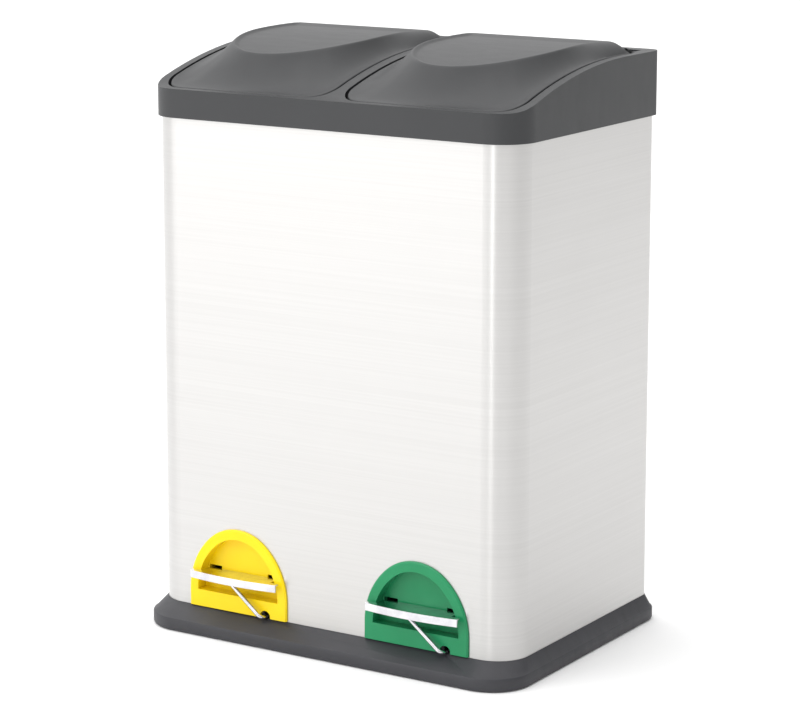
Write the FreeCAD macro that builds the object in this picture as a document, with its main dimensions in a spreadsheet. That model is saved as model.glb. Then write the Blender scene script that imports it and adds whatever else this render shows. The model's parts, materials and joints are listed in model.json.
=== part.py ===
import FreeCAD, Part
import math
import os
import re
import Sketcher
from FreeCAD import Placement, Rotation, Vector

# Double recycling bin: a steel sleeve on a moulded base, a moulded collar with two
# sculpted lids, and under each lid a bucket, a pedal and the linkage that joins them.
# Frame: origin at the centre of the base's footprint on the floor, -Y is the front.

doc = FreeCAD.newDocument("RecyclingBin")

drivingSizes = [
    # sleeve
    ("sleeveWidth", 387.0), ("sleeveDepth", 261.0), ("sleeveHeight", 467.0), ("sleeveWall", 0.8),
    ("sleeveFrontRadius", 31.0), ("sleeveBackRadius", 10.0), ("seamWidth", 14.0),
    # base
    ("sideOverhang", 8.5), ("frontOverhang", 19.0), ("backOverhang", 8.0),
    ("baseFrontRadius", 39.5), ("baseBackRadius", 20.0), ("groundGap", 1.0), ("skirtTop", 11.4),
    ("skirtSoftness", 1.6), ("skirtRoll", 0.5), ("ledgeTop", 23.7), ("sleeveSeat", 20.0), ("floorTop", 7.0),
    ("floorWall", 3.0), ("skirtWall", 3.0), ("ledgeHollow", 9.5), ("upstandHeight", 31.0),
    ("plasticWall", 2.0), ("fitGap", 0.3), ("footRadius", 9.0), ("footInset", 34.0),
    ("ribWidth", 2.0), ("ribSpreadX", 45.0), ("ribSpreadY", 60.0), ("bite", 0.5), ("clearance", 1.0),
    # collar
    ("collarOverhang", 3.6), ("collarLap", 5.3), ("collarFrontHeight", 26.6), ("collarBackHeight", 59.3),
    ("riseFlat", 4.6), ("riseBlend", 55.0), ("riseAngle", 19.0), ("deckWall", 2.5), ("collarWall", 3.0),
    ("plugDepth", 16.0), ("sideLand", 8.0), ("frontLand", 8.6), ("dividerWidth", 10.0),
    ("lidGap", 2.6), ("ledgeWidth", 3.0), ("ledgeDrop", 7.5), ("throatLevel", 489.0),
    ("bumperLength", 14.0), ("softGap", 0.3), ("guideHalf", 6.0), ("guideFront", 5.0), ("guideHigh", 3.0),
    ("guideLow", 8.0),
    # lid
    ("lidCorner", 27.0), ("lidWall", 2.6), ("lidSkirt", 6.0), ("lidRimWall", 2.0),
    ("plateauHalfWidth", 70.0), ("plateauLength", 163.0), ("plateauNose", 91.0), ("plateauStart", 39.0),
    ("plateauRise", 11.0), ("plateauSlope", 0.0502), ("plateauSag", 0.0007), ("dishDepth", 2.4),
    ("dishBlend", 13.0), ("flankPower", 1.7), ("backSlope", 23.0), ("creaseSoftness", 5.0),
    ("skinMargin", 1.0), ("rimBack", 25.0),
    # lid hinge and the lug that the pull rod works
    ("hingeSetback", 29.1), ("hingeDepth", 13.0), ("rollRadius", 12.0), ("rollGap", 1.7),
    ("hingeRelief", 5.5),
    ("hingePinRadius", 2.5), ("hingePinLength", 9.0), ("bossRadius", 5.5), ("bossLength", 3.0),
    ("cheekWidth", 4.0), ("runningGap", 0.05), ("lidOpening", 70.0), ("lugRadius", 14.0),
    ("lugRestAngle", 25.0), ("lugPinRadius", 1.5), ("lugWidth", 3.0), ("lugRim", 3.0),
    ("rollEnd", 15.0), ("cheekFront", 14.0), ("cheekTop", 17.0),
    # pull rod
    ("rodRadius", 2.0), ("rodPlate", 3.0), ("rodRim", 1.9), ("eyeRim", 2.5), ("slotPlay", 0.6),
    ("eyePlay", 0.5),
    # pedal, its pin and the crank
    ("bezelHalfWidth", 54.5), ("bezelHeight", 63.0), ("bezelSpring", 40.0), ("bezelCrown", 47.0),
    ("bezelRim", 9.5), ("bezelProud", 2.5), ("bezelSoftness", 1.2), ("recessDepth", 12.0),
    ("hookWidth", 12.0), ("hookReach", 1.6), ("hookDepth", 3.0), ("hookGap", 0.1),
    ("notchRadius", 5.5), ("pedalWidth", 96.0), ("pedalReach", 31.5), ("pedalBow", 4.0),
    ("pedalPlate", 1.5), ("pedalLip", 7.0), ("pedalTop", 60.0), ("pedalNeck", 39.0), ("pedalBar", 9.5),
    ("armSpread", 33.0), ("armWidth", 13.0), ("pedalPinRadius", 2.0), ("barrelRadius", 3.5),
    ("pedalPinSetback", 17.0), ("pedalPinLevel", 57.5), ("pedalTravel", 24.0), ("earWidth", 3.0),
    ("earRoot", 7.0), ("earTip", 5.0), ("armSlotGap", 0.6), ("armSlotDrop", 6.0), ("armRelief", 1.5),
    ("slotRise", 2.0), ("wireRadius", 2.0), ("wireBend", 5.0), ("crankShaft", 31.0),
    ("crankLevel", 25.5), ("crankReach", 41.0), ("crankTip", 22.5), ("crankFront", 9.0),
    ("crankHook", 12.0), ("crankBack", 21.0), ("bearingWidth", 26.0), ("bearingDepth", 9.0),
    ("clipHeight", 5.5), ("clipCrown", 4.2), ("clipSlope", 1.5), ("clipScrewSpread", 9.6),
    ("bearingInset", 26.0),
    # bucket
    ("bucketGap", 2.5), ("bucketFlange", 5.0), ("bucketDraft", 6.0), ("bucketWall", 2.0),
    ("bucketFoot", 36.0), ("bucketRim", 491.0), ("bucketCorner", 22.0), ("rimHeight", 4.0),
    ("bucketDepth", 209.0), ("bailRadius", 2.0), ("gripRadius", 4.0), ("gripLength", 74.0),
    ("bailEar", 3.0), ("bailEarRoot", 7.0), ("bailEarTip", 4.5), ("pillarRadius", 10.0),
    ("pillarSpreadX", 55.0), ("pillarSpreadY", 70.0),
    # screws
    ("screwRadius", 1.5), ("screwHead", 3.2), ("screwHeadHeight", 1.4), ("screwLength", 7.0),
    ("screwSpread", 120.0), ("baseScrewLevel", 36.0), ("collarScrewLevel", 476.0),
]

workedOutSizes = [
    ("baseWidth", "sleeveWidth + 2 * sideOverhang"),
    ("baseDepth", "sleeveDepth + frontOverhang + backOverhang"),
    ("sleeveFront", "frontOverhang - baseDepth / 2"),
    ("sleeveBack", "sleeveFront + sleeveDepth"),
    ("sleeveTop", "sleeveSeat + sleeveHeight"),
    ("insideSteel", "sleeveWall + fitGap"),
    ("plugInset", "insideSteel + plasticWall"),
    ("collarBottom", "sleeveTop - collarLap"),
    ("collarFront", "sleeveFront - collarOverhang"),
    ("collarBack", "sleeveBack + collarOverhang"),
    ("frontLevel", "collarBottom + collarFrontHeight"),
    ("deckLevel", "collarBottom + collarBackHeight"),
    ("riseStart", "collarFront + riseFlat"),
    ("bendFront", "riseStart + riseBlend * sin(riseAngle)"),
    ("bendLevel", "frontLevel + riseBlend * (1 - cos(riseAngle))"),
    ("crestRadius", "(deckLevel - bendLevel) / (1 - cos(riseAngle))"),
    ("crestStart", "bendFront + crestRadius * sin(riseAngle)"),
    ("lidWidth", "(sleeveWidth + 2 * collarOverhang - 2 * sideLand - dividerWidth - 4 * lidGap) / 2"),
    ("bayOffset", "(dividerWidth + lidWidth) / 2 + lidGap"),
    ("lidFront", "collarFront + frontLand + lidGap"),
    ("hingeLine", "collarBack - hingeSetback"),
    ("hingeLevel", "deckLevel - hingeDepth"),
    ("deckFront", "hingeLine + rollRadius + rollGap"),
    ("throatHalfWidth", "lidWidth / 2 - ledgeWidth"),
    ("rollHalfWidth", "throatHalfWidth - hingePinLength + cheekWidth + bossLength + plasticWall - bite"),
    ("lugLine", "hingeLine + lugRadius * cos(lugRestAngle)"),
    ("lugLevel", "hingeLevel + lugRadius * sin(lugRestAngle)"),
    ("lugReachMost", "hingeLine + lugRadius"),
    ("lugReachLeast", "hingeLine + lugRadius * cos(lidOpening - lugRestAngle)"),
    ("rodStroke", "lugRadius * (sin(lugRestAngle) + sin(lidOpening - lugRestAngle))"),
    ("rodLine", "(lugReachMost + lugReachLeast) / 2"),
    ("bezelFace", "sleeveFront - bezelProud"),
    ("recessBack", "bezelFace + recessDepth"),
    ("pedalPinLine", "sleeveFront + pedalPinSetback"),
    ("pedalUnder", "pedalTop - pedalPlate"),
    ("forkHalf", "rodRadius + fitGap"),
    ("crankTipLevel", "pedalUnder - softGap - wireRadius"),
    ("crankRise", "crankTipLevel - crankLevel"),
    ("crankArm", "sqrt(crankReach * crankReach + crankRise * crankRise)"),
    ("tipDrop", "crankTip * tan(pedalTravel) + (pedalUnder - pedalPinLevel) * (1 - 1 / cos(pedalTravel))"),
    ("crankTurn", "asin(crankRise / crankArm) - asin((crankRise - tipDrop) / crankArm)"),
    ("crankRear", "rodStroke / (2 * sin(crankTurn / 2))"),
    ("rodOffset", "crankShaft - crankRear * (1 + cos(crankTurn / 2)) / 2"),
    ("crankRearX", "crankShaft - crankRear * cos(crankTurn / 2)"),
    ("crankRearLevel", "crankLevel + crankRear * sin(crankTurn / 2)"),
    ("crankRearLine", "sleeveBack - crankBack"),
    ("crankFrontLine", "sleeveFront - crankFront"),
    ("bezelSide", "(bezelHalfWidth ^ 2 + (bezelHeight - bezelCrown) ^ 2 - bezelCrown ^ 2)"
                  " / (2 * (bezelHalfWidth - bezelCrown))"),
    ("bucketFront", "lidFront + ledgeWidth + bucketGap"),
    ("bucketHalfWidth", "throatHalfWidth - bucketGap - bucketFlange"),
    ("bucketMiddle", "bucketFront + bucketDepth / 2"),
    ("bailLevel", "bucketRim + softGap + gripRadius"),
    ("bearingFront", "sleeveFront + bearingInset"),
    ("bearingBack", "crankRearLine - bearingInset / 2"),
]


def makeSheet(name, rows):
    # Column A says what the cell is, column B holds it under its alias.
    sheet = doc.addObject("Spreadsheet::Sheet", name)
    for row, (alias, content) in enumerate(rows, start=1):
        sheet.set("A%d" % row, alias)
        sheet.set("B%d" % row, str(content))
        sheet.setAlias("B%d" % row, alias)
    doc.recompute()
    return sheet


sizes = makeSheet("Sizes", drivingSizes)
sheetOf = {alias: "Sizes." for alias, number in drivingSizes}


def bound(formula):
    # Names each size in the formula together with the sheet that holds it.
    return re.sub(r"[A-Za-z]\w*", lambda word: sheetOf.get(word.group(0), "") + word.group(0), formula)


sheetOf.update({alias: "Layout." for alias, formula in workedOutSizes})
layoutRows = []
for alias, formula in workedOutSizes:
    own = re.sub(r"Layout\.", "", bound(formula))
    layoutRows.append((alias, "=" + own))
layout = makeSheet("Layout", layoutRows)


def size(formula):
    # The number that a formula of sizes comes to now.
    result = layout.evalExpression(bound(formula))
    return float(getattr(result, "Value", result))


parts = []


def keep(feature, label, side=None):
    # Names a finished sub-part; one of a left and right pair moves to its own bay.
    feature.Label = label
    if side is not None:
        feature.setExpression("Placement.Base.x", bound(side + "bayOffset"))
    parts.append(feature)
    return feature


planeTurns = {
    "XY": Rotation(),
    "XZ": Rotation(Vector(1, 0, 0), 90),
    "YZ": Rotation(Vector(1, 1, 1), 120),
}
planeAxes = {"XY": "z", "XZ": "y", "YZ": "x"}


def newSketch(name, plane="XY", place="0", body=None):
    # A sketch on a main plane, moved along that plane's world axis to the given place.
    if body is None:
        sketch = doc.addObject("Sketcher::SketchObject", name)
        sketch.Placement = Placement(Vector(), planeTurns[plane])
        sketch.setExpression("Placement.Base." + planeAxes[plane], bound(place))
        return sketch
    sketch = body.newObject("Sketcher::SketchObject", name)
    datum = [item for item in body.Origin.OriginFeatures if item.Role == plane + "_Plane"][0]
    sketch.AttachmentSupport = (datum, [""])
    sketch.MapMode = "FlatFace"
    along = "-(" + place + ")" if plane == "XZ" else place
    sketch.setExpression("AttachmentOffset.Base.z", bound(along))
    return sketch


def drawOutline(sketch, corners):
    # A closed outline. A corner is (x, y), or (x, y, centreX, centreY, turn) where an arc
    # about that centre leads to it, anticlockwise for turn 1 and clockwise for turn -1.
    spots = [Vector(size(corner[0]), size(corner[1]), 0) for corner in corners]
    first = sketch.GeometryCount
    rules = []
    bounds = []
    for index, corner in enumerate(corners):
        start = spots[index - 1]
        end = spots[index]
        edge = first + index
        startPoint, endPoint = 1, 2
        if len(corner) == 2:
            sketch.addGeometry(Part.LineSegment(start, end), False)
        else:
            centre = Vector(size(corner[2]), size(corner[3]), 0)
            circle = Part.Circle(centre, Vector(0, 0, 1), (end - centre).Length)
            angles = [math.atan2(spot.y - centre.y, spot.x - centre.x) for spot in (start, end)]
            if corner[4] < 0:
                angles.reverse()
                startPoint, endPoint = 2, 1
            if angles[1] <= angles[0]:
                angles[1] += 2 * math.pi
            sketch.addGeometry(Part.ArcOfCircle(circle, angles[0], angles[1]), False)
            chord = end - start
            if abs(chord.x) > abs(chord.y):
                rules.append(("DistanceY", edge, 3, centre.y, corner[3]))
            else:
                rules.append(("DistanceX", edge, 3, centre.x, corner[2]))
        rules.append(("DistanceX", edge, endPoint, end.x, corner[0]))
        rules.append(("DistanceY", edge, endPoint, end.y, corner[1]))
        bounds.append((edge, startPoint, endPoint))
    constraints = []
    for index, (edge, startPoint, endPoint) in enumerate(bounds):
        before = bounds[index - 1]
        constraints.append(Sketcher.Constraint("Coincident", before[0], before[2], edge, startPoint))
    sketch.addConstraint(constraints)
    bindRules(sketch, rules)


def bindRules(sketch, rules):
    # Each rule ties one coordinate of one point to its formula.
    for kind, edge, point, number, formula in rules:
        index = sketch.addConstraint(Sketcher.Constraint(kind, -1, 1, edge, point, number))
        sketch.setExpression("Constraints[%d]" % index, bound(formula))


def drawCircle(sketch, x, y, radius):
    centre = Vector(size(x), size(y), 0)
    edge = sketch.addGeometry(Part.Circle(centre, Vector(0, 0, 1), size(radius)), False)
    bindRules(sketch, [("DistanceX", edge, 3, centre.x, x), ("DistanceY", edge, 3, centre.y, y)])
    index = sketch.addConstraint(Sketcher.Constraint("Radius", edge, size(radius)))
    sketch.setExpression("Constraints[%d]" % index, bound(radius))


def drawBox(sketch, left, right, low, high):
    drawOutline(sketch, [(left, low), (right, low), (right, high), (left, high)])


def drawRounded(sketch, left, right, low, high, lowRadius, highRadius):
    # A rectangle with one radius on its low corners and another on its high ones.
    left, right, low, high = ["(%s)" % item for item in (left, right, low, high)]
    lowRadius, highRadius = "(%s)" % lowRadius, "(%s)" % highRadius
    drawOutline(sketch, [
        (left + "+" + lowRadius, low, left + "+" + lowRadius, low + "+" + lowRadius, 1),
        (right + "-" + lowRadius, low),
        (right, low + "+" + lowRadius, right + "-" + lowRadius, low + "+" + lowRadius, 1),
        (right, high + "-" + highRadius),
        (right + "-" + highRadius, high, right + "-" + highRadius, high + "-" + highRadius, 1),
        (left + "+" + highRadius, high),
        (left, high + "-" + highRadius, left + "+" + highRadius, high + "-" + highRadius, 1),
        (left, low + "+" + lowRadius),
    ])


def extrude(sketch, length, plane="XY"):
    # Grows a free sketch along the positive world axis of its plane.
    solid = doc.addObject("Part::Extrusion", sketch.Name + "Solid")
    solid.Base = sketch
    solid.DirMode = "Normal"
    solid.Solid = True
    solid.Reversed = plane == "XZ"
    solid.setExpression("LengthFwd", bound(length))
    return solid


def pad(body, sketch, length, plane="XY", kind="Pad"):
    # Pads, or with kind Pocket cuts, a body's sketch along the positive world axis.
    feature = body.newObject("PartDesign::" + kind, sketch.Name + kind)
    feature.Profile = sketch
    feature.Type = "Length"
    backwards = plane == "XZ"
    feature.Reversed = backwards if kind == "Pad" else not backwards
    feature.setExpression("Length", bound(length))
    return feature


def fuse(name, *solids):
    feature = doc.addObject("Part::MultiFuse", name)
    feature.Shapes = list(solids)
    return feature


def common(name, base, tool):
    feature = doc.addObject("Part::Common", name)
    feature.Base = base
    feature.Tool = tool
    return feature


def cut(name, base, *tools):
    # Takes the tools away one after the other.
    for tool in tools:
        feature = doc.addObject("Part::Cut", name)
        feature.Base = base
        feature.Tool = tool
        base = feature
    return base


def block(name, left, right, front, back, low, high, plane="XY"):
    # A plain rectangular solid from its six limits.
    sketch = newSketch(name, "XY", low)
    drawBox(sketch, left, right, front, back)
    return extrude(sketch, "(%s) - (%s)" % (high, low))


def rod(name, plane, first, second, start, end, radius):
    # A round solid along a world axis, from its centre in the plane and its two ends.
    sketch = newSketch(name, plane, start)
    drawCircle(sketch, first, second, radius)
    return extrude(sketch, "(%s) - (%s)" % (end, start), plane)


def sleeveOutline(sketch, grow):
    # The sleeve's outer outline, grown by the given amount.
    grow = "(%s)" % grow
    drawRounded(sketch, "-sleeveWidth / 2 -" + grow, "sleeveWidth / 2 +" + grow,
                "sleeveFront -" + grow, "sleeveBack +" + grow,
                "sleeveFrontRadius +" + grow, "sleeveBackRadius +" + grow)


def sleevePrism(name, grow, low, high):
    sketch = newSketch(name, "XY", low)
    sleeveOutline(sketch, grow)
    return extrude(sketch, "(%s) - (%s)" % (high, low))


def baseOutline(sketch, inset):
    inset = "(%s)" % inset
    drawRounded(sketch, "-baseWidth / 2 +" + inset, "baseWidth / 2 -" + inset,
                "-baseDepth / 2 +" + inset, "baseDepth / 2 -" + inset,
                "baseFrontRadius -" + inset, "baseBackRadius -" + inset)


def risePath(shift):
    # The collar's side line from front to back: flat, hollow bend, long crown, flat deck.
    shift = "(%s)" % shift
    return [
        ("riseStart", "frontLevel +" + shift),
        ("bendFront", "bendLevel +" + shift, "riseStart", "frontLevel + riseBlend +" + shift, 1),
        ("crestStart", "deckLevel +" + shift, "crestStart", "deckLevel - crestRadius +" + shift, -1),
    ]


def risingSlab(name, low, high, outline):
    # The space between two levels over an outline. A level is a formula, or, in a list,
    # a shift from the collar's rising top line.
    front, back = "collarFront - clearance", "collarBack + clearance"
    corners = []
    if isinstance(low, list):
        shift = "(%s)" % low[0]
        corners += [(front, "frontLevel +" + shift)] + risePath(low[0]) + [(back, "deckLevel +" + shift)]
    else:
        corners += [(front, low), (back, low)]
    if isinstance(high, list):
        shift = "(%s)" % high[0]
        corners += [(back, "deckLevel +" + shift), ("crestStart", "deckLevel +" + shift),
                    ("bendFront", "bendLevel +" + shift, "crestStart", "deckLevel - crestRadius +" + shift, 1),
                    ("riseStart", "frontLevel +" + shift, "riseStart", "frontLevel + riseBlend +" + shift, -1),
                    (front, "frontLevel +" + shift)]
    else:
        corners += [(back, high), (front, high)]
    profile = newSketch(name + "Profile", "YZ", "-baseWidth / 2")
    drawOutline(profile, corners)
    plan = newSketch(name + "Plan", "XY", "collarBottom - collarBackHeight")
    outline(plan)
    return common(name, extrude(profile, "baseWidth", "YZ"), extrude(plan, "3 * collarBackHeight"))


def bayOutline(grow, front, back, corner):
    # An outline over each bay: rounded front corners, square at the back.
    def draw(sketch):
        for side in ("-", ""):
            half = "(lidWidth / 2 + (%s))" % grow
            middle = "(%sbayOffset)" % side
            drawFlatBack(sketch, middle + "-" + half, middle + "+" + half, front, back, corner)
    return draw


def drawFlatBack(sketch, left, right, low, high, radius):
    left, right, low, radius = ["(%s)" % item for item in (left, right, low, radius)]
    drawOutline(sketch, [
        (left + "+" + radius, low, left + "+" + radius, low + "+" + radius, 1),
        (right + "-" + radius, low),
        (right, low + "+" + radius, right + "-" + radius, low + "+" + radius, 1),
        (right, high),
        (left, high),
        (left, low + "+" + radius),
    ])


def drawArch(sketch, middle, grow, foot=None):
    # A pedal bezel's arch of three arcs about a bay's middle, on straight sides if it has a foot.
    half = "(bezelHalfWidth + (%s))" % grow
    crown = "(bezelCrown + (%s))" % grow
    lean = crown + "* (bezelSide - bezelHalfWidth) / (bezelSide - bezelCrown)"
    crownLevel = "(bezelSpring + bezelHeight - bezelCrown)"
    rise = crownLevel + "+" + crown + "* (bezelHeight - bezelCrown) / (bezelSide - bezelCrown)"
    corners = [
        (middle + "+" + half, "bezelSpring"),
        (middle + "+" + lean, rise, middle + "+ bezelHalfWidth - bezelSide", "bezelSpring", 1),
        (middle + "-" + lean, rise, middle, crownLevel, 1),
        (middle + "-" + half, "bezelSpring", middle + "+ bezelSide - bezelHalfWidth", "bezelSpring", 1),
    ]
    if foot:
        corners += [(middle + "-" + half, foot), (middle + "+" + half, foot)]
    drawOutline(sketch, corners)


def archPrism(name, grow, foot, front, back):
    sketch = newSketch(name, "XZ", front)
    drawArch(sketch, "0", grow, foot)
    return extrude(sketch, "(%s) - (%s)" % (back, front), "XZ")


def pathThrough(points, bend):
    # Straight runs through the points, with each corner rounded to the bend radius.
    edges = []
    start = points[0]
    for before, corner, after in zip(points, points[1:], points[2:]):
        towards = (corner - before).normalize()
        away = (after - corner).normalize()
        turn = towards.getAngle(away)
        reach = bend * math.tan(turn / 2)
        first = corner - towards * reach
        last = corner + away * reach
        inward = (away - towards).normalize()
        middle = corner + inward * (bend / math.cos(turn / 2) - bend)
        edges.append(Part.LineSegment(start, first).toShape())
        edges.append(Part.Arc(first, middle, last).toShape())
        start = last
    edges.append(Part.LineSegment(start, points[-1]).toShape())
    return Part.Wire(edges)


def bentWire(points, bend, radius):
    # A round wire swept along its path.
    path = pathThrough(points, bend)
    circle = Part.Circle(points[0], points[1] - points[0], radius)
    return path.makePipeShell([Part.Wire(circle.toShape())], True, False)


sides = (("left", "-"), ("right", ""))


# ---- steel sleeve: one folded sheet, lapped at the back, open for the pedal bezels ----

def makeSleeve():
    body = doc.addObject("PartDesign::Body", "SleeveBody")
    ring = newSketch("SleeveRing", "XY", "sleeveSeat", body)
    sleeveOutline(ring, "0")
    sleeveOutline(ring, "-sleeveWall")
    pad(body, ring, "sleeveHeight")
    seam = newSketch("SleeveSeam", "XY", "sleeveSeat + upstandHeight", body)
    drawBox(seam, "-seamWidth / 2", "seamWidth / 2", "sleeveBack - sleeveWall / 2", "sleeveBack + sleeveWall")
    pad(body, seam, "collarBottom - softGap - sleeveSeat - upstandHeight")
    windows = newSketch("SleeveWindows", "XZ", "sleeveFront - clearance", body)
    notches = newSketch("SleeveNotches", "XZ", "sleeveFront - clearance", body)
    holes = newSketch("SleeveScrewHoles", "XZ", "sleeveBack - sleeveWall - clearance", body)
    for name, side in sides:
        middle = side + "bayOffset"
        drawArch(windows, middle, "plasticWall + fitGap - bezelRim", "bezelSpring - plasticWall - fitGap")
        drawNotch(notches, middle, "notchRadius", "sleeveSeat - clearance")
        for level in screwLevels:
            drawCircle(holes, side + "screwSpread", level, "screwRadius + fitGap")
    through = "sleeveWall + 2 * clearance"
    for sketch in (windows, notches, holes):
        pad(body, sketch, through, "XZ", "Pocket")
    keep(body, "steel_sleeve")


def drawNotch(sketch, middle, radius, foot, turn=1):
    # The slot through which a crank comes out: round above the shaft, or below it for turn -1.
    centre = middle + "+ crankShaft"
    near, far = ("+", "-") if turn > 0 else ("-", "+")
    drawOutline(sketch, [
        (centre + near + radius, foot),
        (centre + near + radius, "crankLevel"),
        (centre + far + radius, "crankLevel", centre, "crankLevel", 1),
        (centre + far + radius, foot),
    ])


# ---- base: a tray with a sloped ledge, an upstand inside the sleeve, pillars for the ----
# ---- buckets and saddles for the crank shafts                                        ----

def makeBase():
    sections = []
    for name, level, inset in (("Foot", "groundGap", "skirtSoftness / 2"),
                               ("Swell", "groundGap + skirtSoftness", "0"),
                               ("Skirt", "skirtTop", "0"),
                               ("Roll", "skirtTop + skirtSoftness - skirtRoll", "skirtRoll"),
                               ("Shoulder", "skirtTop + skirtSoftness", "skirtSoftness")):
        section = newSketch("Base" + name, "XY", level)
        baseOutline(section, inset)
        sections.append(section)
    ledge = newSketch("BaseLedge", "XY", "ledgeTop")
    sleeveOutline(ledge, "fitGap")
    sections.append(ledge)
    shell = doc.addObject("Part::Loft", "BaseShell")
    shell.Sections = sections
    shell.Solid = True
    shell.Ruled = True
    upstand = sleevePrism("BaseUpstand", "-insideSteel", "floorTop", "sleeveSeat + upstandHeight")
    tray = fuse("BaseTray", shell, upstand)
    under = newSketch("BaseUnder", "XY", "0")
    baseOutline(under, "skirtWall")
    underside = extrude(under, "floorTop - floorWall")
    ring = newSketch("BaseUnderRing", "XY", "0")
    baseOutline(ring, "skirtWall")
    sleeveOutline(ring, "-insideSteel")
    ledgeRoom = extrude(ring, "ledgeHollow")
    ribs = [block("BaseRib", middle + "- ribWidth / 2", middle + "+ ribWidth / 2", "-baseDepth / 2",
                  "baseDepth / 2", "0", "ledgeHollow")
            for middle in ("-3 * ribSpreadX", "-ribSpreadX", "ribSpreadX", "3 * ribSpreadX")]
    ribs += [block("BaseRib", "-baseWidth / 2", "baseWidth / 2", middle + "- ribWidth / 2",
                   middle + "+ ribWidth / 2", "0", "ledgeHollow")
             for middle in ("-ribSpreadY", "ribSpreadY")]
    channel = newSketch("BaseChannel", "XY", "sleeveSeat")
    sleeveOutline(channel, "fitGap")
    sleeveOutline(channel, "-insideSteel")
    hollow = sleevePrism("BaseHollow", "-plugInset", "floorTop", "sleeveSeat + upstandHeight + clearance")
    notches = newSketch("BaseNotches", "XZ", "-baseDepth / 2")
    windows = newSketch("BaseWindows", "XZ", "sleeveFront")
    for name, side in sides:
        drawArch(windows, side + "bayOffset", "plasticWall + fitGap - bezelRim",
                 "bezelSpring - plasticWall - fitGap")
        drawNotch(notches, side + "bayOffset", "(wireRadius + clearance)",
                  "sleeveSeat + upstandHeight + clearance", -1)
    cradle = extrude(notches, "frontOverhang + plugInset + clearance", "XZ")
    shellCut = cut("BaseCut", tray, underside, cut("BaseLedgeRoom", ledgeRoom, *ribs), hollow,
                   extrude(channel, "upstandHeight"), cradle, extrude(windows, "frontOverhang", "XZ"))
    features = [shellCut]
    pillars = newSketch("BasePillars", "XY", "floorTop - bite")
    for name, side in sides:
        for x in ("- pillarSpreadX", "+ pillarSpreadX"):
            for y in ("- pillarSpreadY", "+ pillarSpreadY"):
                for radius in ("pillarRadius", "pillarRadius - plasticWall"):
                    drawCircle(pillars, side + "bayOffset" + x, "bucketMiddle" + y, radius)
    pilots = []
    for middle, place in saddlePlaces():
        saddle = newSketch("BaseSaddle", "XZ", place + "- bearingDepth / 2")
        half = "bearingWidth / 2"
        drawOutline(saddle, [
            (middle + "-" + half, "floorTop - bite"),
            (middle + "+" + half, "floorTop - bite"),
            (middle + "+" + half, "crankLevel"),
            (middle + "+ wireRadius + runningGap", "crankLevel"),
            (middle + "- wireRadius - runningGap", "crankLevel", middle, "crankLevel", -1),
            (middle + "-" + half, "crankLevel"),
        ])
        features.append(extrude(saddle, "bearingDepth", "XZ"))
        for x in ("- clipScrewSpread", "+ clipScrewSpread"):
            pilots.append(rod("BaseClipPilot", "XY", middle + x, place, "crankLevel - screwLength",
                              "crankLevel + clearance", "screwRadius"))
    features.append(extrude(pillars, "bucketFoot - floorTop + bite"))
    for name, side in sides:
        features.append(rod("BaseScrewBoss", "XZ", side + "screwSpread", "baseScrewLevel",
                            "sleeveBack - plugInset - screwLength + clearance", "sleeveBack - plugInset + bite",
                            "screwHead"))
        pilots.append(rod("BaseScrewPilot", "XZ", side + "screwSpread", "baseScrewLevel",
                          "sleeveBack - sleeveWall - screwLength", "sleeveBack + clearance", "screwRadius"))
    keep(cut("Base", fuse("BaseSolids", *features), *pilots), "base")


def makeFeet():
    body = doc.addObject("PartDesign::Body", "FeetBody")
    sketch = newSketch("FeetSketch", "XY", "0", body)
    for name, side in sides:
        for y in ("footInset - baseDepth / 2", "baseDepth / 2 - footInset"):
            drawCircle(sketch, side + "(baseWidth / 2 - footInset)", y, "footRadius")
    pad(body, sketch, "floorTop - floorWall")
    keep(body, "rubber_feet")


# ---- collar: the moulded top frame, with a seat and a throat for each lid and bucket ----

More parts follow.
